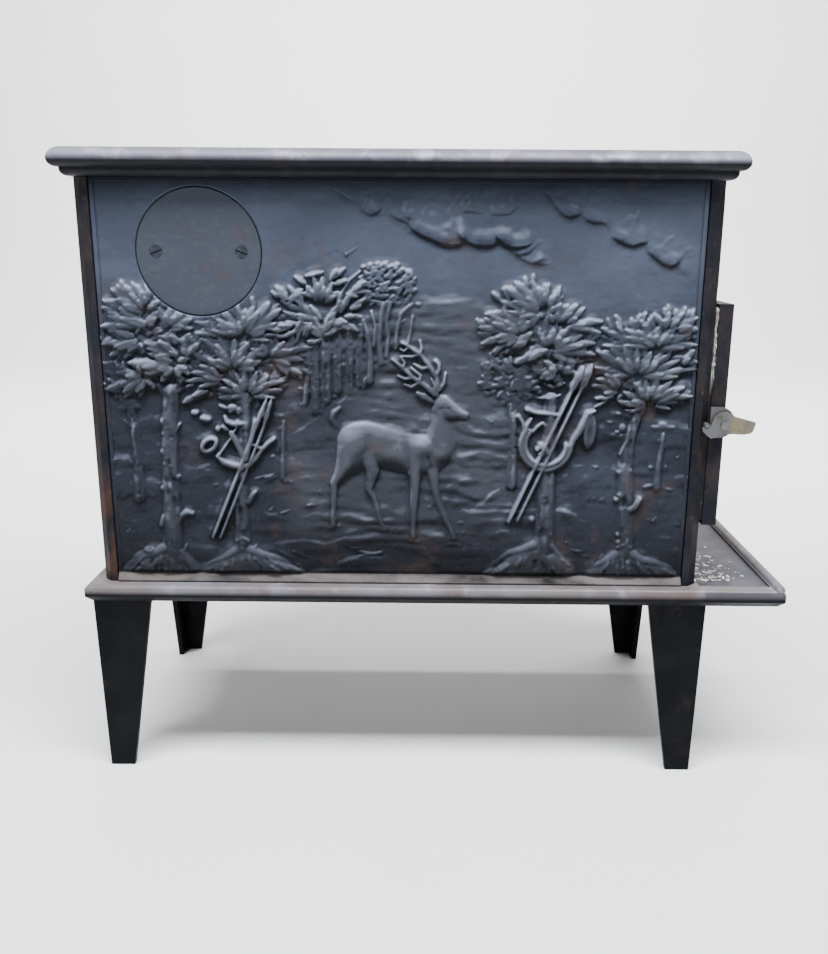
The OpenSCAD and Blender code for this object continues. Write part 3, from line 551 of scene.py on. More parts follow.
def ground(g):
    """Wavy ground and hills: bright upper edges are ledges that face up."""
    for pts, h, fade in [
        # far hill and its bands
        ([(15, 484), (22, 489), (30, 492), (42, 492), (55, 494), (68, 495), (82, 494)], 1.0, 12),
        ([(18, 478), (35, 478), (60, 481), (78, 480)], 0.5, 4),
        ([(20, 468), (40, 469), (60, 471), (76, 470)], 0.45, 4),
        ([(22, 459), (45, 457), (60, 456), (76, 454)], 0.7, 4),
        ([(30, 450), (45, 449), (60, 451), (78, 449)], 0.7, 3.5),
        ([(36, 441), (52, 441), (66, 440), (78, 438)], 0.5, 3.5),
        ([(42, 432), (55, 430), (65, 429.5), (80, 427)], 0.9, 3),
        ([(44, 424), (56, 425.5), (66, 424), (80, 420)], 0.9, 3),
        ([(45, 414), (60, 414), (80, 411)], 0.5, 3),
        ([(46, 404), (60, 402), (80, 398)], 0.5, 3),
        ([(68, 393), (85, 391), (100, 390)], 0.4, 3),
        ([(70, 383), (88, 382), (104, 380)], 0.5, 4),
        ([(56, 372), (72, 373), (90, 370), (106, 368)], 0.6, 4),
        ([(56, 363), (70, 365), (86, 362), (106, 360)], 0.5, 4),
        ([(55, 350), (66, 354), (80, 352), (104, 350)], 0.7, 3.5),
        ([(52, 340), (60, 344), (70, 345.5), (82, 343), (95, 342.5), (106, 344)], 1.5, 4),
        ([(50, 332), (62, 336), (78, 335), (104, 332)], 0.8, 3.5),
        ([(48, 325), (60, 328), (78, 329), (100, 326)], 0.7, 3),
        ([(40, 308), (46, 312), (54, 317), (64, 320.5), (76, 320.5), (88, 317)], 1.7, 5),
        ([(45, 292), (54, 297), (64, 299), (76, 297)], 1.1, 5),
        ([(70, 287), (77, 292), (84, 297), (88, 303), (95, 308), (106, 312)], 2.0, 7),
        ([(58, 263), (70, 265), (80, 264), (92, 261)], 0.9, 5),
        ([(86, 260), (94, 264), (101, 268), (112, 268), (128, 265)], 1.8, 8),
        # behind the legs
        ([(-110, 343), (-96, 345), (-80, 347), (-64, 346)], 0.9, 4),
        ([(-112, 330), (-90, 333), (-76, 332), (-62, 330)], 0.7, 3),
        ([(-114, 315), (-105, 318), (-95, 320.5), (-80, 322.5), (-64, 322)], 1.6, 4),
        ([(-112, 302), (-98, 305), (-84, 306), (-72, 304)], 0.6, 4),
        ([(-100, 291), (-88, 293), (-74, 290)], 0.5, 4),
        ([(-57, 275), (-47, 279), (-34, 280), (-22, 279)], 1.1, 3.5),
        ([(-58, 286), (-42, 290), (-28, 289)], 0.8, 3),
        ([(-56, 298), (-40, 301), (-30, 300)], 0.6, 3),
        ([(-22, 305), (-14, 311), (-6, 314), (6, 313)], 1.0, 3.5),
        ([(-20, 297), (-10, 301), (8, 301)], 0.8, 3),
        ([(-19, 291), (-10, 295), (0, 297), (10, 296)], 1.1, 2.6),
        ([(-16, 284), (-4, 287), (10, 287)], 0.7, 3),
        ([(-12, 275), (0, 277), (10, 276)], 0.6, 3),
        ([(18, 300), (30, 302), (40, 299)], 0.5, 3),
        ([(20, 289), (30, 291), (42, 288)], 0.6, 3),
        ([(20, 276), (34, 279), (46, 276)], 0.5, 3),
        ([(26, 259), (34, 263), (44, 262), (50, 258)], 1.3, 4),
        ([(-150, 281), (-138, 283), (-125, 282), (-106, 278), (-92, 275)], 1.2, 5),
        ([(-140, 251), (-122, 252), (-110, 254), (-98, 256), (-86, 255), (-76, 252), (-66, 254), (-54, 259),
          (-40, 260), (-12, 258)], 1.8, 6),
        ([(-98, 259), (-84, 260), (-68, 262), (-54, 264), (-38, 265), (-22, 263)], 1.0, 3),
        ([(-16, 250), (-4, 252), (12, 251), (22, 250), (28, 245), (40, 242)], 1.7, 5),
        ([(-206, 283), (-195, 285), (-180, 284)], 0.5, 3),
        ([(-212, 259), (-200, 262), (-186, 258)], 0.8, 5),
        ([(-280, 255), (-268, 261), (-254, 268), (-244, 266)], 0.6, 6),
        ([(-270, 297), (-262, 298), (-252, 297)], 0.8, 4),
        ([(-204, 320), (-196, 324), (-188, 327), (-176, 326), (-168, 322)], 1.4, 3),
        ([(-200, 329), (-190, 332), (-178, 331)], 0.6, 3),
        ([(-50, 383), (-36, 385.5), (-22, 388), (-10, 387), (8, 382)], 1.3, 3.5),
        ([(-50, 391), (-38, 395), (-28, 395)], 0.8, 3.5),
        ([(-44, 399), (-30, 401), (-10, 400), (10, 397)], 0.6, 3.5),
        ([(-62, 394), (-54, 399), (-47, 405), (-38, 410), (-32, 417)], 1.4, 7),
        ([(-108, 362), (-98, 368), (-88, 375), (-78, 380), (-68, 380)], 1.2, 9),
        ([(-30, 420), (-24, 430), (-17, 435), (-10, 434.5), (-2, 430), (6, 424)], 1.5, 5),
        ([(-26, 412), (-16, 416), (-4, 415)], 0.6, 3),
        ([(160, 315), (170, 317), (182, 313)], 0.7, 4),
        ([(148, 276), (150, 282), (153, 287), (158, 290), (166, 289), (176, 284), (186, 276)], 2.2, 8),
        ([(176, 300), (190, 303), (205, 300)], 0.4, 4),
        ([(236, 305), (246, 307), (262, 303)], 0.6, 4),
        ([(234, 291), (250, 298), (268, 300), (282, 296)], 0.5, 6),
        ([(246, 262), (262, 262), (282, 260)], 0.4, 6),
        # low mounds at the foot of the panel
        ([(-70, 225), (-62, 231), (-52, 236), (-40, 239), (-24, 239), (-14, 235), (-6, 228)], 1.9, 6),
        ([(60, 226), (72, 229), (88, 226)], 0.5, 6),
    ]:
        length = pts[-1][0] - pts[0][0]
        g.ledge(pts, 1.5 * h, 1.3 * fade, side=-1, soft=4.5, ends=0.45 * length)
    # bristles on the banks
    for x0, z0, x1, z1, n in [(78, 293, 104, 311, 14), (90, 262, 122, 267, 14), (-62, 231, -12, 236, 20)]:
        for i in range(n):
            t = (i + g.rng.uniform(0, 0.8)) / n
            x, z = x0 + t * (x1 - x0), z0 + t * (z1 - z0)
            lean = (t - 0.5) * 8
            g.ridge([(x, z), (x + lean * 0.6, z - g.rng.uniform(3, 7))], [0.9, 0.5], 0.6)
    for pts in [[(-48, 245), (-40, 245)], [(-41, 242), (-32, 240), (-26, 239), (-18, 241)],
                [(-33, 240), (-36, 229)], [(-40, 237), (-30, 239)], [(-42, 253), (-38, 256)]]:
        g.stroke(pts, 1.3, 1.0, 2.0)
    # tufts and flowers in the grass
    for x, z, n in [(-124, 284, 5), (-114, 281, 4), (62, 272, 7), (66, 284, 4), (190, 298, 4),
                    (202, 296, 5), (205, 375, 8), (168, 252, 6), (178, 243, 6), (186, 238, 4),
                    (-88, 289, 5), (-182, 309, 4), (253, 275, 4), (275, 272, 4), (262, 330, 3),
                    (275, 340, 4), (-78, 302, 5), (96, 330, 3), (30, 288, 3), (-270, 259, 4),
                    (60, 262, 5), (88, 375, 4), (192, 330, 4)]:
        for _ in range(n):
            a = g.rng.uniform(20, 160)
            d = g.rng.uniform(2, 5)
            g.ridge([(x + g.rng.uniform(-5, 5), z),
                     (x + math.cos(math.radians(a)) * d + g.rng.uniform(-4, 4),
                      z + math.sin(math.radians(a)) * d)], [1.1, 0.6], 0.8)


def mound(g, pts):
    """Earth and roots heaped round the foot of a tree."""
    g.area(pts, 4.6, 16, 0.8)
    x0, x1 = pts[0][0] + 10, pts[-1][0] - 10
    top = max(pts, key=lambda p: p[1])[0]
    # rough strokes on it
    for _ in range(26):
        x, z = g.rng.uniform(x0, x1), g.rng.uniform(214, 238)
        lean = (x - top) * 0.12
        g.ridge([(x - lean, z + 3), (x + lean, z - 4)], [2.6, 2], g.rng.choice([-1.3, 1.1]))


def trees_left(g):
    mound(g, [(-284, 208), (-282, 219), (-270, 228), (-256, 236), (-240, 242), (-234, 256), (-222, 256),
              (-217, 242), (-207, 233), (-200, 222), (-197, 208)])
    mound(g, [(-204, 208), (-202, 220), (-188, 229), (-170, 238), (-163, 252), (-151, 252), (-146, 241),
              (-128, 235), (-110, 229), (-96, 221), (-88, 208)])
    # slim tree at the edge
    g.trunk([(-258, 296), (-257, 330), (-258, 362), (-260, 385)], [6, 5, 4.5, 4], 3.0)
    g.stroke([(-275, 296), (-270, 301), (-262, 304)], [2, 3.5, 4], 2.2, 0.5)
    g.stroke([(-243, 297), (-249, 303)], [1.5, 3], 2.0, 0.5)
    g.blob(-263, 332, 3.4, 3.4, 2.0, lift=1.0)
    g.stroke([(-268, 374), (-262, 368), (-258, 373)], [1.2, 2.2, 1.2], 1.8, 0.8)
    for x, z, rx, rz in [(-262, 391, 8, 4), (-256, 388, 6, 3), (-268, 386, 5, 3), (-266, 393, 4, 3)]:
        g.blob(x, z, rx, rz, 1.8, g.rng.uniform(-20, 20), 1.2)
    # big tree at -227
    g.trunk([(-228, 236), (-227, 262), (-226, 300), (-225, 340), (-222, 380), (-220, 402)],
            [11, 9.5, 8.5, 8.5, 8, 8], 4.0, [(-231, 343, 3.2, 3.6), (-228, 337, 3, 2.2),
            (-230, 331, 2.6, 3), (-224, 329, 3, 2), (-218, 318, 3.4, 2.8), (-233, 306, 3.4, 3),
            (-229, 361, 3, 2.6), (-227, 367, 2.6, 3), (-230, 373, 2.2, 3.6), (-222, 355, 2, 3)])
    g.stroke([(-235, 277), (-237, 268)], [2, 3.2], 2.4, 2.2)
    g.stroke([(-221, 269), (-217, 277), (-212, 281), (-206, 280)], [2.2, 3, 3.4, 2.4], 2.6, 1.6)
    g.stroke([(-217, 364), (-213, 371)], [1.6, 1.4], 2.0, 2.6)
    g.stroke([(-224, 395), (-214, 407), (-206, 416)], [5, 3.5, 2.5], 2.5, 1.0)
    g.stroke([(-222, 395), (-232, 408)], [4, 2.5], 2.2, 1.0)
    # its roots
    g.stroke([(-236, 243), (-246, 237), (-260, 233), (-270, 227), (-282, 215)], [6, 5.5, 4, 4, 3],
             [4.4, 3.6, 3, 2.6, 1.5], 0.6)
    g.stroke([(-220, 240), (-211, 232), (-202, 224)], [5, 3.6, 2.2], [4, 2.8, 1.5], 0.4)
    g.stroke([(-228, 238), (-224, 226), (-223, 216)], [7, 5.5, 4], [4, 3, 1.6], 0.4)
    g.stroke([(-236, 236), (-246, 225), (-254, 218)], [5, 4, 3], [3.2, 2.2, 1.2], 0.4)
    g.stroke([(-216, 241), (-214, 247)], [1.8, 1], 1.8, 1.5)
    g.blob(-251, 241, 6, 4, 1.9, lift=2.2)
    g.swell(-251, 243, 3, 1.7, -1.8)
    for x, z in [(-240, 227), (-222, 224)]:
        g.blob(x, z, 4.5, 3, 1.5, lift=2.4)
    # tree behind the trophy, at -156
    g.trunk([(-157, 236), (-157, 262), (-156, 300), (-152, 345), (-149, 398)], [9, 7.6, 7, 6.5, 6.5], 3.4)
    g.stroke([(-157, 294), (-149, 293), (-144, 301), (-142, 303)], [2.5, 3.6, 2.8, 2], 2.6, 2.0)
    g.stroke([(-163, 252), (-157, 255.5), (-151, 252)], 2.0, 2.0, 2.4)
    g.blob(-156.5, 249, 3.2, 2, 2.2, lift=2.4)
    g.stroke([(-164, 241), (-176, 234), (-190, 228), (-201, 221)], [5.5, 4, 3, 2], [4, 3.4, 2.4, 1.4], 0.5)
    g.blob(-184, 222, 12, 3.2, 2.2, 14, 0.8)
    g.stroke([(-150, 242), (-139, 237), (-126, 234), (-108, 229)], [5.5, 4.6, 3.6, 2],
             [4, 3.6, 2.8, 1.2], 0.5)
    g.stroke([(-157, 240), (-157, 228), (-157, 216)], [7, 6, 4], [3.4, 2.6, 1.4], 0.4)
    g.blob(-149, 226, 5, 3, 1.8, lift=1.2)
    g.stroke([(-146, 241), (-144, 247)], [1.6, 1], 1.6, 1.6)
    # plant at -113
    g.stroke([(-115, 318), (-114, 336), (-113, 362), (-112, 374)], [3, 2.6, 2.2, 2], 2.4, 1.4)
    g.blobs([(-113, 379, 10, 3.2, 4), (-107, 382, 5, 2.2, 0), (-119, 380, 4, 2.4, -10),
             (-114, 367, 4.6, 3, 10), (-124, 339, 3.4, 1.8, 10), (-117, 350, 2.4, 4, 0),
             (-119, 345, 2.2, 3, 0), (-112, 340, 1.6, 4, -30)], 1.9, 0.9)
    g.leaves([(-122, 322, -143, 316, 4), (-120, 319, -133, 313, 5), (-116, 318, -104, 312, 5)], 0.8)


def foliage_left(g):
    g.crowns([(-245, 478, 34, 20), (-258, 455, 26, 16), (-222, 440, 36, 26), (-262, 412, 24, 16),
              (-190, 412, 24, 14)], 1.5)
    g.clump(-270, 426, 13, 12, 26, 4.2, 0.8)
    g.leaves([(-243, 482, -279, 487, 12), (-245, 484, -271, 499, 11), (-244, 485, -257, 502, 10),
              (-242, 486, -246, 503, 9), (-240, 484, -234, 500, 9), (-238, 481, -224, 489, 8),
              (-241, 477, -264, 477, 6), (-243, 480, -266, 490, 9), (-241, 480, -250, 494, 8)], 1.6, 0.14)
    g.leaves([(-222, 463, -226, 483, 9), (-222, 464, -214, 483, 10), (-221, 465, -203, 479, 12),
              (-216, 464, -195, 472, 9), (-218, 461, -195, 463, 6), (-224, 462, -231, 458, 5)], 2.0, 0.12)
    g.leaves([(-240, 465, -284, 464, 12), (-240, 467, -276, 474, 11), (-241, 468, -262, 478, 9),
              (-240, 464, -262, 467, 9), (-238, 467, -227, 479, 10),
              (-237, 464, -231, 467, 5)], 2.0, 0.14)
    g.leaves([(-251, 455, -277, 460, 12), (-249, 452, -284, 447, 8), (-249, 450, -277, 436, 10),
              (-248, 448, -263, 434, 9), (-250, 457, -243, 466, 6), (-247, 449, -243, 439, 6)], 1.9, 0.12)
    g.leaves([(-247, 417, -283, 403, 11), (-246, 419, -272, 420, 11), (-247, 415, -268, 409, 9),
              (-245, 413, -266, 396, 9), (-244, 412, -251, 396, 9), (-242, 414, -235, 404, 8),
              (-244, 418, -238, 424, 7), (-246, 420, -256, 430, 7)], 2.0, 0.12)
    g.leaves([(-207, 449, -229, 456, 9), (-206, 447, -198, 459, 9), (-212, 447, -216, 459, 9),
              (-213, 440, -243, 449, 11), (-214, 437, -241, 444, 7), (-210, 437, -224, 446, 9),
              (-206, 438, -203, 449, 10), (-204, 436, -190, 449, 9), (-218, 431, -260, 430, 12, 2),
              (-218, 433, -240, 439, 8), (-216, 431, -231, 437, 8), (-212, 431, -199, 435, 7),
              (-219, 428, -241, 419, 12), (-217, 426, -229, 412, 11), (-214, 426, -209, 410, 11),
              (-212, 428, -200, 419, 8)], 2.2, 0.08)
    g.leaves([(-172, 412, -205, 412, 8, -2.5), (-171, 414, -200, 421, 9, -2),
              (-172, 417, -191, 428, 9, -1.5), (-183, 404, -210, 391, 9),
              (-206, 406, -196, 410, 4)], 2.4, 0.1)
    g.stroke([(-243, 440), (-242, 450)], 1.3, 1.5, 1.5)
    g.stroke([(-245, 474), (-240, 484), (-235, 491)], 1.2, 1.2, 2.6)


def foliage_behind(g):
    g.crowns([(-158, 440, 40, 30), (-145, 408, 34, 16), (-112, 436, 28, 20), (-148, 468, 40, 16)], 1.4)
    g.leaves([(-152, 458, -194, 469, 10), (-152, 459, -179, 476, 9), (-151, 460, -166, 480, 10),
              (-149, 460, -152, 485, 10), (-147, 460, -137, 484, 11), (-145, 459, -122, 488, 11),
              (-143, 458, -111, 482, 11), (-141, 456, -116, 469, 9), (-152, 456, -194, 459, 7),
              (-151, 457, -172, 466, 9, 1), (-150, 456, -151, 470, 8),
              (-140, 453, -112, 457, 5, 2)], 1.8, 0.1)
    g.leaves([(-123, 438, -94, 454, 9), (-120, 436, -83, 446, 9, 1), (-120, 433, -91, 434, 9, 1.5),
              (-118, 430, -92, 420, 8), (-125, 439, -128, 456, 9), (-125, 438, -142, 444, 8),
              (-122, 437, -108, 452, 8)], 1.8, 0.1)
    g.leaves([(-161, 425, -199, 441, 10, 1), (-161, 427, -186, 453, 11), (-161, 428, -171, 456, 11),
              (-159, 428, -156, 454, 10), (-157, 427, -143, 450, 11), (-155, 426, -129, 446, 11),
              (-154, 424, -131, 433, 9), (-164, 424, -182, 431, 8), (-160, 426, -175, 443, 9),
              (-158, 426, -149, 441, 9)], 2.2, 0.1)
    g.leaves([(-148, 399, -175, 397, 8, 1), (-149, 401, -172, 407, 8, 1), (-149, 403, -170, 415, 8),
              (-148, 403, -157, 421, 9), (-147, 404, -148, 425, 9), (-145, 403, -136, 423, 10),
              (-143, 402, -125, 419, 9), (-142, 400, -109, 414, 8, 3), (-141, 398, -111, 405, 7, 2),
              (-140, 397, -118, 397, 5, 1)], 2.4, 0.1)


def palm(g):
    # group of stems under the palm
    for pts, r in [([(-81, 385), (-81, 420), (-79, 452)], 4.2), ([(-70, 396), (-70, 425), (-70, 452)], 5),
                   ([(-59, 405), (-59, 435), (-58, 458)], 4), ([(-48, 404), (-47, 435), (-47, 460)], 3.6),
                   ([(-38, 410), (-38, 440), (-36, 466)], 3.4),
                   ([(-91, 392), (-88, 420), (-86, 440)], 2.6)]:
        g.trunk(pts, r, 2.6)
    g.blobs([(-65, 441, 5, 2.2, 15), (-60, 450, 2, 6, -15), (-69, 431, 2.6, 3.4, -20),
             (-57, 443, 3, 2, 0), (-53, 429, 2.4, 2.4, 0), (-48, 422, 2.4, 3, 0), (-41, 422, 3, 1.4, 0),
             (-74, 405, 2, 4, 0), (-71, 404, 1.6, 3, 0), (-89, 403, 3, 3.4, 0), (-95, 406, 3, 1.8, -20),
             (-87, 416, 2, 2, 0), (-81, 397, 1.6, 3, -10), (-73, 391, 1.4, 6, -15),
             (-78, 384, 4, 1.6, -10), (-93, 390, 3, 2.6, -20), (-60, 421, 2.6, 1.4, 0),
             (-40, 449, 2, 2, 0), (-33, 457, 2.6, 2, 0), (-62, 399, 2.6, 1.6, 20), (-84, 427, 2, 2, 0),
             (-45, 440, 1.6, 3, 10), (-75, 418, 1.6, 3, 0)], 1.1, 1.6)
    rows = [(-75, 471, -108, 470, 6, 3), (-76, 473, -110, 480, 5, 2), (-84, 480, -112, 490, 6, 2),
            (-73, 471, -96, 488, 6, 1), (-104, 488, -90, 501, 7), (-90, 486, -104, 503, 6),
            (-104, 490, -116, 503, 7), (-112, 492, -120, 498, 5), (-77, 488, -87, 504, 7),
            (-80, 492, -92, 497, 5), (-74, 488, -80, 513, 6), (-72, 488, -72, 512, 6),
            (-70, 487, -56, 499, 7), (-68, 490, -62, 508, 5), (-62, 505, -48, 509, 5),
            (-65, 508, -50, 520, 5), (-88, 512, -70, 516, 4), (-86, 505, -98, 512, 5),
            (-66, 473, -56, 486, 7), (-56, 478, -45, 496, 7), (-47, 482, -31, 492, 6),
            (-52, 475, -34, 475, 6, 1), (-58, 484, -54, 498, 5), (-56, 468, -38, 461, 6, 2),
            (-64, 468, -48, 470, 6, 2), (-50, 496, -32, 498, 5, 1), (-44, 500, -30, 508, 5),
            (-71, 460, -60, 475, 6), (-72, 458, -66, 477, 5), (-72, 456, -87, 466, 6, 1),
            (-71, 456, -62, 461, 5), (-71, 457, -52, 464, 6, 2), (-72, 454, -88, 452, 5, 2),
            (-73, 455, -80, 475, 6), (-78, 462, -92, 470, 5), (-86, 470, -97, 452, 5, -2),
            (-92, 472, -100, 458, 5), (-100, 466, -124, 463, 5, 2), (-98, 462, -116, 456, 5, 2),
            (-82, 470, -88, 455, 5)]
    g.leaves([(x0, z0, x1, z1, 1.3 * w, *bend) for x0, z0, x1, z1, w, *bend in rows], 2.0, 0.03)
    g.stroke([(-54, 497), (-46, 509), (-36, 517)], [1.6, 1.3, 1], 1.3, 2.0)


def berry_tree(g):
    g.blob(-11, 503, 28, 22, 1.4)
    # limbs
    for pts, r in [([(-28, 414), (-27, 436), (-30, 460), (-34, 472)], [3.4, 3, 2.6, 2]),
                   ([(-17, 432), (-19, 452), (-17, 470), (-15, 486)], [3.2, 2.8, 2.6, 3]),
                   ([(-12, 438), (-10, 455), (-12, 472), (-8, 488)], [2.4, 2.2, 2.2, 2.4]),
                   ([(-3, 446), (-2, 462), (2, 478), (10, 486)], [2.2, 2.2, 2, 1.6]),
                   ([(8, 448), (11, 462), (13, 476)], [1.8, 1.6, 1.4]),
                   ([(-24, 448), (-22, 466), (-26, 480)], [2, 1.8, 1.6])]:
        g.stroke(pts, r, 2.4, 1.8)
    g.blobs([(-27, 432, 3, 4, 20), (-28, 423, 3.4, 3, 30), (-33, 412, 2.6, 7, -20),
             (-18, 466, 1.6, 5, -25), (-22, 467, 3, 2, 0), (2, 478, 7, 2, 25), (10, 484, 6, 2, 50),
             (18, 487, 3, 2, 0), (4, 471, 4, 1.6, 30), (-20, 489, 14, 1.8, -8),
             (-24, 495, 10, 1.6, -20)], 1.4, 1.9)
    for _ in range(150):
        a, q = g.rng.uniform(0, 2 * math.pi), g.rng.uniform(0, 1) ** 0.55
        x, z = -11 + 27 * q * math.cos(a), 504 + 21 * q * math.sin(a)
        g.blob(x, z, 3.0, 1.7, 1.5, g.rng.normal(12, 22), 1.4 + 1.2 * (1 - q) + g.rng.uniform(0, 0.5))
    for x, z in [(-33, 521), (-27, 523), (-20, 524), (-14, 524), (-9, 521), (-30, 515),
                 (-3, 520), (-21, 517)]:
        g.blob(x, z, 2.6, 1.9, 1.6, 15, 2.4)


def trees_right(g):
    mound(g, [(80, 208), (85, 222), (98, 233), (118, 244), (134, 252), (138, 264), (152, 264), (155, 250),
              (164, 238), (176, 228), (184, 208)])
    mound(g, [(184, 208), (188, 224), (203, 231), (215, 242), (219, 254), (232, 254), (236, 240),
              (252, 234), (270, 229), (282, 220), (284, 208)])
    # slim tree at 111
    g.trunk([(111, 312), (111, 340), (111, 372), (107, 392)], [5, 4.6, 4, 3], 3.2)
    g.blob(104, 338, 2.6, 3.6, 2.2, 20, 0.9)
    g.stroke([(101, 380), (106, 375), (110, 374)], [1.6, 2, 1.6], 1.8, 1.2)
    for x, z, rx, rz in [(106, 398, 6, 3.6), (113, 396, 5, 3), (101, 394, 3, 2.4), (109, 402, 4, 2.4)]:
        g.blob(x, z, rx, rz, 1.8, g.rng.uniform(-20, 20), 1.4)
    # tree with the horn, at 145
    g.trunk([(145, 238), (145, 266), (145, 300), (146, 340), (147, 398)], [12, 10, 9, 8, 7], 3.6,
            [(132, 277, 3, 3.2), (143, 296, 3.4, 2.4), (151, 262, 2.4, 3.4), (139, 268, 2.2, 3)])
    g.stroke([(136, 250), (124, 245), (110, 241), (97, 232), (86, 224)], [6, 4.6, 4, 3, 2],
             [4.2, 3.6, 3, 2.2, 1.2], 0.6)
    g.stroke([(152, 250), (160, 240), (170, 230)], [4, 3, 2.2], [3.8, 2.8, 1.6], 0.8)
    g.stroke([(145, 242), (146, 228), (148, 217)], [9, 8, 5], [3.6, 2.8, 1.4], 0.4)
    g.stroke([(138, 240), (126, 230), (116, 220)], [6, 4, 3], [3, 2.2, 1.2], 0.4)
    for x, z in [(148, 234), (129, 235), (114, 229)]:
        g.blob(x, z, 5, 3, 1.6, lift=2.2)
    g.swell(150, 241, 6, 2.2, -1.0)
    # tree at 225
    g.trunk([(225, 238), (225, 262), (224, 300), (222, 335), (224, 356), (229, 378), (234, 394)],
            [10, 9, 8, 7.5, 5.5, 5, 5], 3.6, [(218, 326, 5, 3), (226, 328, 3.4, 3), (219, 303, 4, 3),
            (215, 298, 3, 3), (219, 254, 3, 3), (218, 262, 2.4, 3)])
    g.stroke([(229, 288), (234, 291), (238, 299)], [3.2, 3.6, 2.6], 2.8, 2.2)
    g.stroke([(216, 344), (220, 354), (225, 366), (229, 374)], [1.8, 2, 2, 1.6], 2.0, 2.2)
    g.stroke([(219, 249), (226, 252), (232, 249)], 2.2, 2.2, 2.6)
    g.blob(227, 245, 3.6, 2, 2.0, lift=2.6)
    g.blobs([(208, 363, 6, 2.2, -10), (216, 362, 4, 3, 10), (217, 370, 4, 4.4, 0), (212, 366, 3, 2, 0),
             (222, 383, 5, 4, -10), (213, 384, 4, 2.4, -10), (236, 386, 2, 6, -30),
             (230, 376, 2, 4, -20)], 2.0, 1.4)
    g.stroke([(219, 241), (209, 234), (199, 229), (190, 224)], [6, 4.6, 3, 2], [4, 3.4, 2.4, 1.3], 0.6)
    g.blob(202, 221, 8, 3, 2.2, 14, 0.8)
    g.stroke([(233, 241), (243, 235), (258, 232), (270, 228), (279, 221)], [6, 4.8, 4.4, 3.6, 2.2],
             [4.2, 3.8, 3.2, 2.6, 1.4], 0.6)
    g.stroke([(225, 242), (225, 228), (224, 217)], [8, 7, 5], [3.6, 2.8, 1.4], 0.4)
    g.swell(233, 230, 7, 2.4, -1.0)
    g.blob(234, 222, 6, 3, 1.4, lift=1.2)
    g.stroke([(238, 236), (238, 244)], [1.8, 1], 1.8, 1.6)
    # plant at 255
    g.stroke([(254, 311), (254, 330), (256, 350), (257, 364)], [4, 3.4, 3, 2.4], 2.6, 1.4)
    g.blobs([(257, 371, 12, 3, 0), (256, 374, 5, 3, 0), (265, 371, 5, 2.4, 0), (248, 371, 4, 2.2, -20),
             (247, 331, 3.4, 2.6, 0), (254, 358, 4, 3, 0), (260, 353, 2.2, 4, -20), (255, 339, 3, 4.5, 0),
             (246, 312, 7, 2.2, 12), (266, 309, 6, 1.8, -12), (261, 331, 1.6, 4, -20)], 2.0, 1.0)


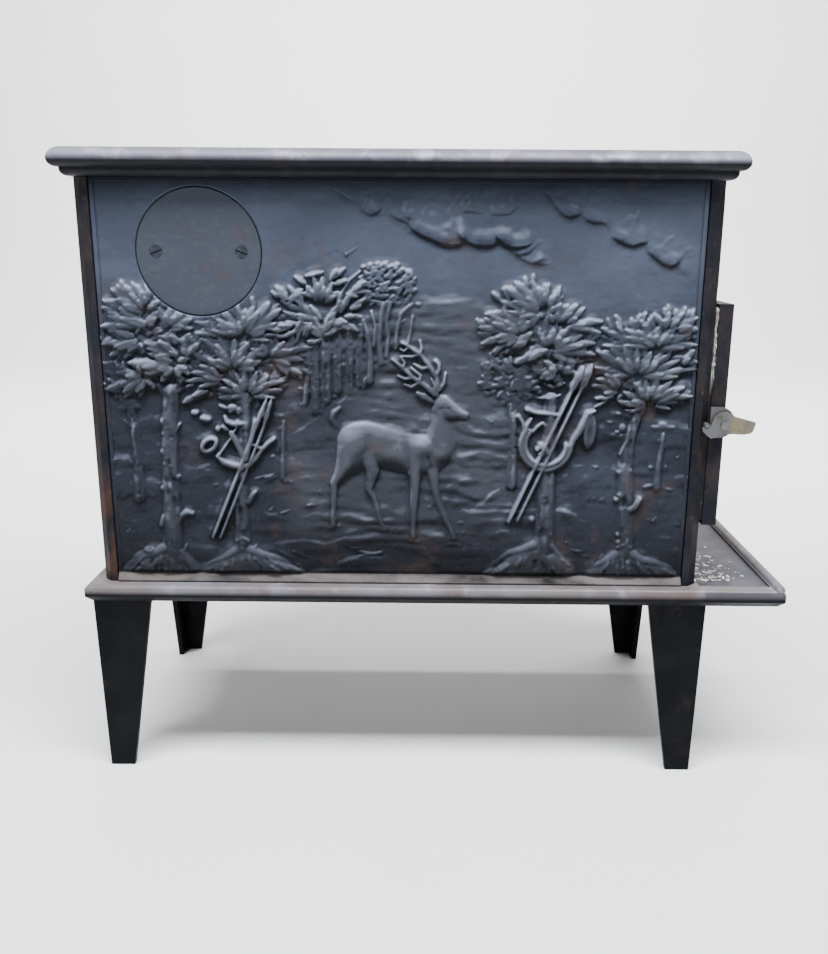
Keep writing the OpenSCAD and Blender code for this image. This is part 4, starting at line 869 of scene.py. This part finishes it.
def foliage_right(g):
    g.crowns([(122, 482, 36, 20), (108, 458, 32, 20), (148, 450, 42, 22), (112, 418, 34, 20),
              (150, 426, 22, 12)], 1.5)
    g.clump(92, 431, 13, 8, 26, 3.4, 1.4)
    g.clump(90, 410, 11, 8, 22, 3.2, 1.4)
    g.clump(115, 416, 17, 12, 36, 4.0, 1.6)
    g.clump(106, 398, 9, 4, 8, 3.0, 1.0)
    g.leaves([(131, 480, 94, 491, 9), (132, 482, 99, 504, 11), (133, 484, 111, 508, 11),
              (135, 485, 124, 510, 10), (137, 486, 137, 507, 10), (140, 485, 151, 502, 10),
              (130, 478, 104, 481, 7, 1), (142, 480, 152, 488, 8)], 1.8, 0.12)
    g.leaves([(110, 462, 75, 466, 10), (112, 463, 83, 480, 9), (113, 464, 99, 482, 10),
              (114, 463, 118, 483, 11), (116, 462, 133, 478, 11), (111, 460, 77, 450, 10),
              (112, 458, 88, 442, 8), (112, 457, 101, 441, 8), (112, 462, 97, 467, 9),
              (115, 462, 121, 470, 8)], 2.0, 0.1)
    g.leaves([(150, 470, 152, 490, 10), (151, 471, 168, 488, 10), (158, 470, 175, 485, 8),
              (160, 468, 193, 472, 9, 1), (158, 466, 190, 462, 8, 1), (146, 470, 141, 482, 8)], 2.0, 0.1)
    g.leaves([(143, 449, 131, 462, 9), (144, 450, 146, 465, 11), (146, 450, 160, 465, 11),
              (147, 448, 174, 460, 11), (148, 446, 187, 452, 10, 1), (147, 443, 188, 441, 9, 1),
              (146, 441, 170, 433, 9), (107, 446, 126, 462, 12), (139, 446, 110, 432, 12, 1),
              (142, 446, 133, 439, 6)], 2.3, 0.1)
    g.leaves([(151, 424, 127, 427, 11, 2), (152, 425, 138, 435, 9), (154, 425, 154, 436, 9),
              (155, 424, 168, 433, 10), (156, 423, 170, 424, 8), (150, 422, 134, 418, 8)], 2.4, 0.1)
    g.leaves([(156, 402, 132, 399, 5, 1), (150, 408, 138, 414, 6), (150, 410, 160, 414, 6)], 2.0, 0.1)
    g.crowns([(236, 432, 50, 22), (238, 458, 44, 14), (240, 406, 40, 14), (262, 466, 20, 12)], 1.5)
    g.leaves([(241, 449, 196, 463, 11, 1), (241, 450, 214, 465, 10), (242, 451, 231, 467, 11),
              (244, 451, 245, 468, 11), (246, 450, 262, 468, 11), (247, 449, 277, 462, 10, 1),
              (248, 447, 284, 451, 8, 1), (240, 447, 193, 450, 7, 1), (252, 466, 240, 480, 8),
              (253, 467, 254, 482, 8), (256, 467, 268, 481, 8), (262, 466, 282, 477, 8),
              (264, 463, 283, 466, 8), (236, 466, 227, 474, 7), (212, 462, 205, 472, 6),
              (243, 449, 228, 457, 9), (245, 449, 255, 460, 9)], 1.9, 0.06)
    g.leaves([(224, 421, 186, 429, 8, 1), (223, 423, 187, 445, 12), (223, 424, 200, 449, 10),
              (225, 424, 214, 449, 11), (227, 424, 226, 447, 10), (229, 424, 240, 445, 11),
              (231, 423, 255, 441, 10), (233, 421, 268, 437, 9), (235, 419, 285, 428, 8, 2),
              (224, 423, 206, 437, 9), (230, 423, 247, 435, 8), (270, 432, 281, 447, 9)], 2.2, 0.08)
    g.leaves([(211, 405, 183, 411, 8, -2), (211, 408, 188, 418, 8, -2), (212, 410, 196, 423, 9, -1),
              (203, 399, 188, 390, 5), (208, 402, 188, 399, 6, 1)], 2.4, 0.1)
    g.leaves([(236, 393, 210, 397, 8, 1), (236, 391, 217, 388, 6, 2), (237, 396, 215, 406, 9),
              (238, 398, 225, 415, 10), (240, 398, 236, 418, 9), (241, 398, 248, 420, 10),
              (243, 397, 262, 418, 9), (246, 396, 274, 411, 9, 2), (247, 394, 283, 402, 8, 2),
              (246, 392, 270, 396, 6, 1), (239, 397, 231, 410, 8), (243, 397, 254, 411, 8)], 2.5, 0.08)


def trophy_left(g):
    # horn's ring
    ring = []
    for a in np.linspace(0, 2 * math.pi, 15):
        u, v = 8.2 * math.cos(a), 5.2 * math.sin(a)
        ring.append((-185.5 + u * 0.75 - v * 0.66, 350 + u * 0.66 + v * 0.75))
    g.stroke(ring, 2.4, 2.6, 1.2)
    # two spears and their blades
    for dx, r, h in [(7.5, 1.8, 1.7), (0, 1.9, 2.4)]:
        g.stroke([(-186 + dx, 256), (-139 + dx, 368)], r, h, 2.6)
        g.leaf(-140.5 + dx, 364, -127 + dx * 0.6, 397, 6.5, 3.2, rise=1.4)
    g.stroke([(-178, 338), (-172, 346), (-164, 357), (-158, 368), (-157, 374)], 1.3, 1.6, 2.4)
    g.stroke([(-163, 362), (-151, 336)], [3.2, 2.6], 1.4, 2.4)
    g.stroke([(-150, 336), (-144, 356), (-139, 374)], [2.2, 2.6, 3], 1.6, 2.6)
    # curved horn
    g.stroke([(-178, 339), (-172, 333), (-164, 330), (-155, 329), (-147, 330), (-140, 337), (-134, 346),
              (-128, 352), (-122, 357)], [2, 3.2, 3.4, 3.2, 3.2, 2.8, 2.4, 2.6, 2], 2.6, 1.6)
    g.stroke([(-143, 351), (-134, 347)], [1.6, 2], 2.2, 1.6)
    g.blob(-155, 327, 3.4, 3, 2.0, lift=2.4)
    # ribbon and knot
    g.stroke([(-169, 379), (-167, 374), (-161, 371), (-150, 372)], [1.4, 2.4, 2.6, 1.8], 2.2, 2.0)
    g.blobs([(-176, 366, 3, 3, 0), (-169, 367, 4.6, 2.6, -30), (-163, 362, 3, 2.4, -40),
             (-170, 388, 5, 2, -25), (-161, 387, 5, 4, 0), (-155, 384, 3, 4, -20),
             (-148, 388, 4, 1.8, 40), (-163, 384, 3, 3, 0), (-198, 382, 4, 3, 0), (-188, 376, 6, 3, -10),
             (-176, 341, 3, 2, 30)], 1.7, 1.6)


def trophy_right(g):
    # belt round the trunk
    g.stroke([(124, 388), (132, 385), (142, 384), (154, 383)], [2.6, 2.2, 2, 1.6], 2.2, 2.2)
    g.stroke([(110, 381), (116, 381), (120, 375), (121, 366)], [1.6, 2.2, 1.8, 1.4], 1.8, 1.4)
    # coiled horn: two turns side by side
    for r, dr, lift in [(24.5, 2.7, 2.0), (19.8, 2.3, 2.2)]:
        turn = [(143 + r * math.cos(math.radians(a)), 353 + r * 1.02 * math.sin(math.radians(a)))
                for a in range(145, 370, 12)]
        g.stroke(turn, dr, 2.2, lift)
    g.stroke([(123, 367), (124, 373), (128, 379)], [2.4, 2.2, 1.8], 2.2, 2.0)
    g.stroke([(167, 351), (170, 359), (175, 367), (179, 377), (182, 385), (189, 387)],
             [2.8, 3.2, 3.6, 3, 2.4, 1.6], 2.4, 2.0)
    # bell
    g.blob(185, 367, 6.5, 18, 1.6, -3, 1.8)
    g.swell(185.5, 367, 4.4, 14.5, -1.6, -3)
    # tie inside the coil
    g.stroke([(126, 368), (130, 366), (134, 371), (139, 375), (142, 372)], 1.7, 1.8, 1.8)
    g.blobs([(138, 352, 3, 4, 0), (139, 344, 4, 2.6, -10), (135, 349, 2.4, 3, 0),
             (144, 348, 2, 5, 10)], 1.3, 3.4)
    # two spears
    for dx, r, h in [(8.5, 1.9, 1.8), (0, 2.1, 2.4)]:
        g.stroke([(109 + dx, 275 + dx * 0.1), (168 + dx, 412)], r, h, 3.0)
    g.leaf(164, 404, 176, 430, 10, 3.6, rise=1.5)
    g.leaf(173, 404, 184, 432, 10, 3.6, rise=1.5)


def stag(g):
    # far legs
    g.stroke([(-30, 340), (-26, 326), (-28, 314), (-30, 307), (-25, 298), (-21, 284), (-17.5, 271),
              (-15, 266)], [9, 7, 4.5, 3.4, 2.9, 2.6, 2.4, 2.8], [3, 2.6, 2.2, 2, 1.8, 1.7, 1.7, 2], 2.0)
    g.stroke([(-20, 265), (-14, 265.5), (-10, 266)], [1.6, 2.6, 1.6], 2.2, 0.7)
    g.stroke([(-12, 259), (-7, 261)], [1.2, 1.4], 1.8, 0.6)
    g.stroke([(33, 326), (35, 312), (37, 300), (41, 289), (46, 277), (52, 264), (55, 257)],
             [6, 4.4, 3.6, 3.2, 2.8, 2.5, 2.6], [2.8, 2.4, 2, 1.9, 1.8, 1.7, 1.9], 2.0)
    g.stroke([(50, 257), (56, 256)], [2.4, 1.8], 2.2, 0.7)
    g.stroke([(48, 250), (55, 251), (61, 249)], [1.6, 2.2, 1.4], 2.2, 0.7)
    # body
    g.area([(-62, 350), (-61, 358), (-57, 366), (-51, 370), (-44, 373), (-35, 374.5), (-25, 373.5),
            (-14, 370.5), (-4, 367.5), (6, 365), (16, 363), (25, 363), (28, 370), (30, 379), (32, 390),
            (40, 394), (47, 386), (50, 374), (53, 362), (56, 352), (54, 344), (50, 336), (45, 330),
            (39, 325), (30, 322), (20, 321), (8, 323), (-5, 325), (-15, 328), (-25, 333.5), (-31, 338),
            (-35, 330), (-42, 322), (-52, 320), (-58, 328), (-61, 338)], 4.3, 17, 0.8)
    # haunch, shoulder, neck and ribs
    g.swell(-46, 351, 16, 20, 1.3, 0)
    g.ridge([(-52, 370), (-30, 372), (-8, 367), (10, 363)], 5, 0.5)
    g.swell(-4, 343, 16, 12, 0.9, 0)
    g.swell(22, 349, 14, 16, 1.5, -20)
    g.swell(42, 345, 11, 14, 1.0, 25)
    g.ridge([(26, 352), (36, 366), (40, 382)], [12, 9, 7], [0.7, 0.8, 0.6])
    g.ridge([(-30, 358), (-31, 346), (-34, 336)], [6, 5, 4], -0.5)
    g.ridge([(6, 358), (8, 344), (11, 332)], [6, 5, 4], -0.6)
    for i in range(5):
        g.ridge([(-18 + 5 * i, 354), (-16 + 5 * i, 346), (-18 + 5 * i, 337)], 2.6, -0.2)
    g.ridge([(29, 340), (33, 326)], 3, -0.7)
    g.ridge([(27, 362), (34, 354), (42, 346)], 4, -0.5)
    # near legs
    g.stroke([(-50, 346), (-53, 332), (-59, 320), (-64, 313), (-64.5, 304), (-65, 290), (-66, 277),
              (-66, 270)], [11, 9.5, 6, 4.2, 3.2, 2.7, 2.6, 2.8],
             [3.4, 3.4, 3, 2.8, 2.4, 2.2, 2.2, 2.4], 2.4)
    g.stroke([(-69, 267), (-65, 268)], [1.8, 2.4], 2.6, 1.0)
    g.blob(-60, 268.5, 3, 2.4, 2.4, lift=1.0)
    g.stroke([(17, 338), (16, 326), (15.5, 310), (14.5, 294), (14, 280), (14, 266), (14, 258)],
             [9, 6.4, 4.8, 4.2, 3.2, 2.8, 3], [3.2, 3, 2.8, 2.9, 2.4, 2.2, 2.4], 2.4)
    g.stroke([(10, 254), (14, 254.5), (19, 252.5)], [1.8, 3, 1.8], 2.6, 1.0)
    g.blob(11, 324, 3, 3.6, 1.2, 0, 3.4)
    # tail
    g.stroke([(-61, 370), (-65, 377), (-63, 383), (-57, 388)], [2.2, 3.4, 3.2, 1.8],
             [2, 2.6, 2.6, 1.8], 1.0)
    # head
    g.area([(33, 392), (36, 400), (40, 402.5), (45, 401), (51, 395.5), (57, 389.5), (63, 385.5),
            (67, 384.5), (68.5, 381), (66, 377.5), (60, 377.5), (52, 377), (44, 377.5), (37, 380),
            (31, 386)], 3.0, 5, 1.6)
    g.swell(42, 391, 9, 7, 0.8, -25)
    g.ridge([(45, 399), (55, 391), (64, 384.5)], [2.6, 2.2, 1.8], [0.8, 0.8, 0.4])
    g.ridge([(39, 388.4), (44, 389.2), (50, 388)], [1.2, 1.5, 1], -1.2)
    g.blob(44.5, 389.3, 1.7, 1.1, 0.9, add=True)
    g.ridge([(38, 384), (46, 384.5), (52, 382)], 1.5, 0.5)
    g.ridge([(56, 380.3), (66, 380.6)], [0.9, 0.7], -0.9)
    g.swell(65, 383.3, 1.2, 0.8, -0.8)
    # ears
    g.leaf(34, 394, 16, 404, 8, 2.8, rise=1.3)
    g.leaf(38, 399, 30, 408, 5, 2.4, rise=1.0)
    # antlers
    for pts, r in [([(36, 402), (37, 411), (36, 419), (31, 426), (26, 433), (20, 440), (12, 446),
            (3, 451)], [2.3, 2.2, 2.1, 2.1, 2, 2, 1.8, 1.1]),
                   ([(36, 420), (38.5, 426), (38, 431), (35, 434)], [1.7, 1.6, 1.7, 1.4]),
                   ([(39, 406), (43, 412), (44.5, 422)], [1.8, 1.7, 1]),
                   ([(20, 440), (21.5, 446), (20, 453)], [1.6, 1.4, 0.9]),
                   ([(29, 428), (22, 426.5), (14, 431)], [1.7, 1.6, 0.9]),
                   ([(19, 440), (12, 437.5), (4, 438.5)], [1.6, 1.4, 0.9]),
                   ([(9, 447), (5, 443), (1, 445)], [1.5, 1.2, 0.8]), ([(34, 402), (28, 408), (20, 413.5),
            (12, 419), (5, 426), (0, 430), (-6, 435)], [2.3, 2.2, 2.1, 2, 1.9, 1.6, 1]),
                   ([(20, 414), (20.5, 420), (12, 427)], [1.7, 1.6, 0.9]),
                   ([(13, 418), (6, 416.5), (-1, 419.5)], [1.6, 1.4, 0.9]),
                   ([(19, 413), (12, 408.5), (5, 411.5)], [1.7, 1.5, 0.9]),
                   ([(4, 427), (5.5, 432), (2, 438)], [1.5, 1.3, 0.8]),
                   ([(34, 404), (34.5, 410), (31, 417)], [1.6, 1.5, 0.9]),]:
        g.stroke(pts, [1.2 * k for k in r], 2.6, 2.6)


LAND_TOP = 505       # height where the land meets the sky
BAND_HEIGHT = 13     # of the waves in the land
TROPHY_LIFT = 2.0    # the trophies hang in front of the trunks


def hunting_scene(x0, x1, z0, z1, step):
    """The whole relief as a height field with a sample every step mm."""
    g = Relief(x0, x1, z0, z1, step, 437)
    g.h += 0.3 + 0.2 * g.noise(26) + 0.1 * g.noise(9) + 0.06 * g.noise(4)
    # rougher land under the sky
    land = np.clip((LAND_TOP - g.z) / 30, 0, 1)[:, None]
    rough = 1.0 + 0.6 * g.noise(40, 13) + 0.45 * g.noise(24, 7)
    rough = rough + 0.35 * g.noise(12, 5) + 0.2 * g.noise(6, 3)
    g.h += land * rough
    # wavy bands in it, each with its upper edge standing out
    bend = 9 * g.noise(75, 30) + 4 * g.noise(26, 16) + 1.5 * g.noise(10, 8)
    band = (g.z[:, None] + bend) / BAND_HEIGHT % 1
    band = np.where(band < 0.5, band / 0.5, (1 - band) / 0.5)
    band = band * band * (3 - 2 * band)
    middle = np.clip((g.x + 140) / 30, 0.12, 1) * np.clip((155 - g.x) / 30, 0.12, 1)
    g.h += land * middle * np.clip(0.35 + 0.9 * g.noise(55, 22), 0.05, 1) * 1.7 * band
    g.h += land * (1 - 0.8 * middle) * (0.3 * g.noise(7) + 0.25 * g.noise(4))
    for part in (clouds, ground, trees_left, berry_tree, palm, foliage_behind, foliage_left, trees_right,
                 foliage_right, trophy_left, trophy_right, stag):
        g.base = TROPHY_LIFT if part in (trophy_left, trophy_right) else 0.0
        part(g)
    # skin of the casting
    g.h += 0.14 * g.noise(5) + 0.10 * g.noise(2.5)
    return g


# ---- relief plates ----

def soften(a, n, times=2):
    """Average over squares of 2n + 1 samples."""
    for _ in range(times):
        for axis in (0, 1):
            pad = [(n + 1, n) if i == axis else (0, 0) for i in (0, 1)]
            total = np.cumsum(np.pad(a, pad, mode="edge"), axis)
            length = total.shape[axis]
            ahead, behind = np.arange(2 * n + 1, length), np.arange(0, length - 2 * n - 1)
            a = (np.take(total, ahead, axis) - np.take(total, behind, axis)) / (2 * n + 1)
    return a


PLAIN_FADE = 14      # width over which the relief rises round the plain ring
FOOT_MARGIN = 8      # height at the foot of the panel that stays flat
FOOT_FADE = 5        # height over which the relief rises above it
THINNEST = 0.15      # the skin's least height over the plate
SKIRT = 1.5          # depth of the skin's edge inside the plate


def relief_skin(name, scene, every, hole, far_side=False, plain=0):
    """Skin over a side plate, with a skirt that sinks into it.

    every: samples per corner of the mesh. hole: radius cut out round the flue. plain: radius left flat.
    """
    fine = soften(scene.h, 1, 1)
    rise = np.gradient(soften(fine, 2, 1), scene.z, axis=0)
    broad_rise = np.gradient(soften(fine, 8), scene.z, axis=0)
    sideways = np.gradient(soften(fine, 1, 1), scene.x, axis=1)
    # painted light and shade for the relief's colour: positive on crests, on slopes that face up and a
    # little on slopes that face -x; negative in recesses and on slopes that face down
    light_and_shade = 0.5 * (fine - soften(fine, 5)) - 0.7 * np.tanh(1.3 * rise) - 1.5 * np.tanh(3.0 * broad_rise)
    light_and_shade += 0.35 * np.tanh(1.2 * sideways)
    x, z = scene.x[::every], scene.z[::every]
    h, painted_light = fine[::every, ::every].copy(), light_and_shade[::every, ::every]
    X, Z = np.meshgrid(x, z)
    far = np.hypot(X - FLUE_X, Z - FLUE_Z)
    if plain:
        h *= np.clip((far - plain) / PLAIN_FADE, 0, 1)
    h = np.maximum(h, 0) * np.clip((Z - FOOT - FOOT_MARGIN) / FOOT_FADE, 0, 1) + THINNEST
    inside = far < hole
    cell_out = ~(inside[:-1, :-1] | inside[1:, :-1] | inside[:-1, 1:] | inside[1:, 1:])
    near = np.zeros_like(inside)
    for dz in (0, 1):
        for dx in (0, 1):
            near[dz:dz + cell_out.shape[0], dx:dx + cell_out.shape[1]] |= ~cell_out
    rim = near & ~inside
    X = np.where(rim, FLUE_X + (X - FLUE_X) * hole / np.maximum(far, 1), X)
    Z = np.where(rim, FLUE_Z + (Z - FLUE_Z) * hole / np.maximum(far, 1), Z)
    rows, cols = h.shape
    index = np.arange(rows * cols).reshape(rows, cols)
    quads = np.stack([index[:-1, :-1], index[:-1, 1:], index[1:, 1:], index[1:, :-1]], -1)[cell_out]
    front = np.stack([X, FIELD - h, Z], -1).reshape(-1, 3)
    # skirt that runs down into the plate along every open edge
    edges = np.concatenate([quads[:, [i, (i + 1) % 4]] for i in range(4)])
    keys = np.sort(edges, 1) @ np.array([rows * cols, 1])
    first, count = np.unique(keys, return_index=True, return_counts=True)[1:]
    open_edges = edges[first[count == 1]]
    used = np.unique(open_edges)
    below = front[used].copy()
    below[:, 1] = FIELD + SKIRT
    lower = {int(v): rows * cols + i for i, v in enumerate(used)}
    walls = [[int(b), int(a), lower[int(a)], lower[int(b)]] for a, b in open_edges]
    verts = np.concatenate([front, below])
    faces = quads.tolist() + walls
    lights_and_shades = np.concatenate([painted_light.reshape(-1), np.zeros(len(used))])
    heights = np.concatenate([h.reshape(-1), np.zeros(len(used))])
    kept = np.unique(np.concatenate([quads.reshape(-1), np.arange(rows * cols, len(verts))]))
    number = np.zeros(len(verts), int)
    number[kept] = np.arange(len(kept))
    verts, lights_and_shades, heights = verts[kept], lights_and_shades[kept], heights[kept]
    faces = number[np.array(faces)]
    if far_side:
        verts[:, 1] *= -1
        faces = faces[:, ::-1]
    piece = mesh_piece(name, verts, faces.tolist(), "stove", panel_iron)
    # the painted light and shade go on as attributes: the positive part lightens the panel's colour as
    # painted highlight, the negative part darkens it as painted shade
    for key, values in (("painted_light", lights_and_shades), ("hollow", -lights_and_shades), ("raised", heights)):
        attribute = piece.data.attributes.new(key, "FLOAT", "POINT")
        attribute.data.foreach_set("value", np.clip(values, 0, None).astype(np.float32))


COLLAR_HOLE, COLLAR_PLAIN = 62, 86      # radii round the flue in use, on the far side
scene = hunting_scene(-HALF, HALF, FOOT + 6, HEAD, 0.5)
relief_skin("left_relief", scene, 2, OPENING)
relief_skin("right_relief", scene, 3, COLLAR_HOLE, far_side=True, plain=COLLAR_PLAIN)


# ---- small pieces ----

def tube(points, radii, sides):
    """Corners and faces of a round bar through points, closed at both ends."""
    p = np.array(points, float)
    along = np.gradient(p, axis=0)
    along /= np.linalg.norm(along, axis=1, keepdims=True)
    across = np.cross(along, (0.31, 0.53, 0.79))
    across /= np.linalg.norm(across, axis=1, keepdims=True)
    third = np.cross(along, across)
    verts, faces = [], []
    for i, r in enumerate(np.broadcast_to(radii, len(p))):
        for k in range(sides):
            a = 2 * math.pi * k / sides
            verts.append(p[i] + r * (math.cos(a) * across[i] + math.sin(a) * third[i]))
    for i in range(len(p) - 1):
        for k in range(sides):
            m = (k + 1) % sides
            faces.append([i * sides + k, i * sides + m, (i + 1) * sides + m, (i + 1) * sides + k])
    faces += [list(range(sides))[::-1], [(len(p) - 1) * sides + k for k in range(sides)]]
    return verts, faces


def joined(parts):
    """Several (corners, faces) as one."""
    verts, faces = [], []
    for v, f in parts:
        faces += [[k + len(verts) for k in face] for face in f]
        verts += [list(c) for c in v]
    return verts, faces


STRANDS = 46         # in the frayed end of the door's rope
FRAY_DEPTH = 3.4     # how far its strands may stand out from the body and the door's edge
CHIPS = 210          # of ash and wood on the hearth
LARGE_CHIPS = 80
CHIP_SINK = 0.1      # from tray_z down to a chip's underside
CHIP_DROP = 3        # from the top of the lip to tray_z; the sunk floor is 8 mm down, so the chips float
rng = np.random.default_rng(12)
door_low, door_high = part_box("door")
door_edge = door_low[1] * 1000 - MIDDLE.y
door_top = door_high[2] * 1000
body_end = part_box("door_rope_seal")[0][0] * 1000 - MIDDLE.x
strands = []
for _ in range(STRANDS):
    z = door_top - 4 - 62 * rng.uniform(0, 1) ** 1.2
    y = door_edge + rng.uniform(-0.5, 2.0)
    x = body_end + rng.uniform(0.6, 2.6)
    steps = [(x, y, z)]
    for _ in range(4):
        x = min(max(x + rng.uniform(-0.9, 0.9), body_end + 0.3), body_end + FRAY_DEPTH)
        y = max(y - rng.uniform(-0.5, 1.0), door_edge - FRAY_DEPTH)
        z -= rng.uniform(1.2, 4.5)
        steps.append((x, y, z))
    strands.append(tube(steps, [0.42, 0.38, 0.34, 0.28, 0.12], 5))
for z, r in [(door_top - 57, 2.0), (door_top - 6, 1.5), (door_top - 30, 1.3)]:
    knot = [(body_end + 1.6 + 0.3 * math.sin(3 * k), door_edge - 0.4, z + (k - 3) * 0.8) for k in range(7)]
    strands.append(tube(knot, [0.3, 0.6 * r, 0.9 * r, r, 0.85 * r, 0.6 * r, 0.3], 8))
fray = mesh_piece("rope_fray", *joined(strands), "door", rope_cloth)

tray_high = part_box("base_plate")[1]
tray_z = tray_high[2] * 1000 - CHIP_DROP
flakes = []
for i in range(CHIPS):
    cx = HALF + 12 + min(abs(rng.normal(0, 24)), 58)
    cy = min(max(rng.normal(-92, 32), -138), -10)
    size = rng.uniform(2.0, 4.4) if i < LARGE_CHIPS else rng.uniform(0.6, 1.8)
    n = rng.integers(4, 7)
    turn, slim = rng.uniform(0, 6), rng.uniform(0.2, 0.7)
    ring = []
    for k in range(n):
        a = 2 * math.pi * k / n
        u, v = size * rng.uniform(0.7, 1.2) * math.cos(a), size * slim * rng.uniform(0.7, 1.2) * math.sin(a)
        ring.append((cx + u * math.cos(turn) - v * math.sin(turn),
                     cy + u * math.sin(turn) + v * math.cos(turn)))
    thick = rng.uniform(0.3, 0.9)
    verts = [(a, b, tray_z - CHIP_SINK) for a, b in ring]
    verts += [(a, b, tray_z + thick * rng.uniform(0.6, 1.3)) for a, b in ring]
    faces = [list(range(n))[::-1], list(range(n, 2 * n))]
    faces += [[k, (k + 1) % n, n + (k + 1) % n, n + k] for k in range(n)]
    flakes.append((verts, faces))
mesh_piece("ash_flakes", *joined(flakes), "stove", flake_ash, smooth=False)


# ---- floor, light and camera ----

def studio_paint(name, colour, rough):
    finish = Paint(name, colour, 0.0, (rough, rough + 0.05), 0.2)
    return finish.layer(tuple(0.97 * c for c in colour), 3, 0.4, 0.6, 0.5).grain(60, 0.2, 0.1).done()


def backdrop():
    """Pale floor that bends up behind."""
    reach, wall, bend, top = 20, 3.0, 1.5, 7
    profile = [(-reach, 0), (wall, 0)]
    profile += [(wall + bend * math.sin(a), bend - bend * math.cos(a)) for a in np.radians(range(9, 91, 9))]
    profile += [(wall + bend, top)]
    xs = np.linspace(-reach, reach, 5)
    verts = [(x, y, z) for x in xs for y, z in profile]
    n = len(profile)
    faces = [[i * n + k, (i + 1) * n + k, (i + 1) * n + k + 1, i * n + k + 1]
             for i in range(len(xs) - 1) for k in range(n - 1)]
    mesh = bpy.data.meshes.new("floor")
    mesh.from_pydata(verts, [], faces)
    mesh.polygons.foreach_set("use_smooth", [True] * len(mesh.polygons))
    mesh.materials.append(studio_paint("floor_paint", (0.86, 0.86, 0.86), 0.6))
    floor = bpy.data.objects.new("floor", mesh)
    bpy.context.scene.collection.objects.link(floor)


def area_light(name, place, aim, size, power, colour=(1, 1, 1)):
    data = bpy.data.lights.new(name, "AREA")
    data.shape = "RECTANGLE"
    data.size, data.size_y = size
    data.energy = power
    data.color = colour
    light = bpy.data.objects.new(name, data)
    light.location = place
    light.rotation_mode = "QUATERNION"
    light.rotation_quaternion = (Vector(aim) - Vector(place)).to_track_quat("-Z", "Y")
    bpy.context.scene.collection.objects.link(light)


backdrop()
area_light("top_light", (0, -0.8, 2.2), (0, -0.25, 0.35), (2.6, 0.5), 185, (0.94, 0.97, 1.0))
area_light("front_fill", (-0.4, -3.0, 1.1), (0, 0, 0.3), (2.0, 1.6), 5)
area_light("back_fill", (0, 1.2, 2.6), (0, 4.3, 0.7), (5.0, 1.0), 420)
world = bpy.data.worlds.new("studio")
world.use_nodes = True
world.node_tree.nodes["Background"].inputs["Color"].default_value = (1, 1, 1, 1)
world.node_tree.nodes["Background"].inputs["Strength"].default_value = 0.35
bpy.context.scene.world = world

CAMERA_PLACE = (-0.0004, -1.0660, 0.5484)
yaw, pitch, roll = -0.0053, 0.2528, 0.0073
ahead = Vector((math.sin(yaw) * math.cos(pitch), math.cos(yaw) * math.cos(pitch), -math.sin(pitch)))
level = Vector((math.cos(yaw), -math.sin(yaw), 0))
up = level.cross(ahead)
across = math.cos(roll) * level + math.sin(roll) * up
upright = math.cos(roll) * up - math.sin(roll) * level
camera = bpy.data.objects.new("camera", bpy.data.cameras.new("camera"))
turned = Matrix((across, upright, -ahead)).transposed().to_4x4()
camera.matrix_world = Matrix.Translation(CAMERA_PLACE) @ turned
camera.data.sensor_width = 36
camera.data.lens = 35.654
camera.data.shift_x = -0.0172
camera.data.shift_y = 0.0044
camera.data.clip_start, camera.data.clip_end = 0.05, 50
bpy.context.scene.collection.objects.link(camera)
bpy.context.scene.camera = camera
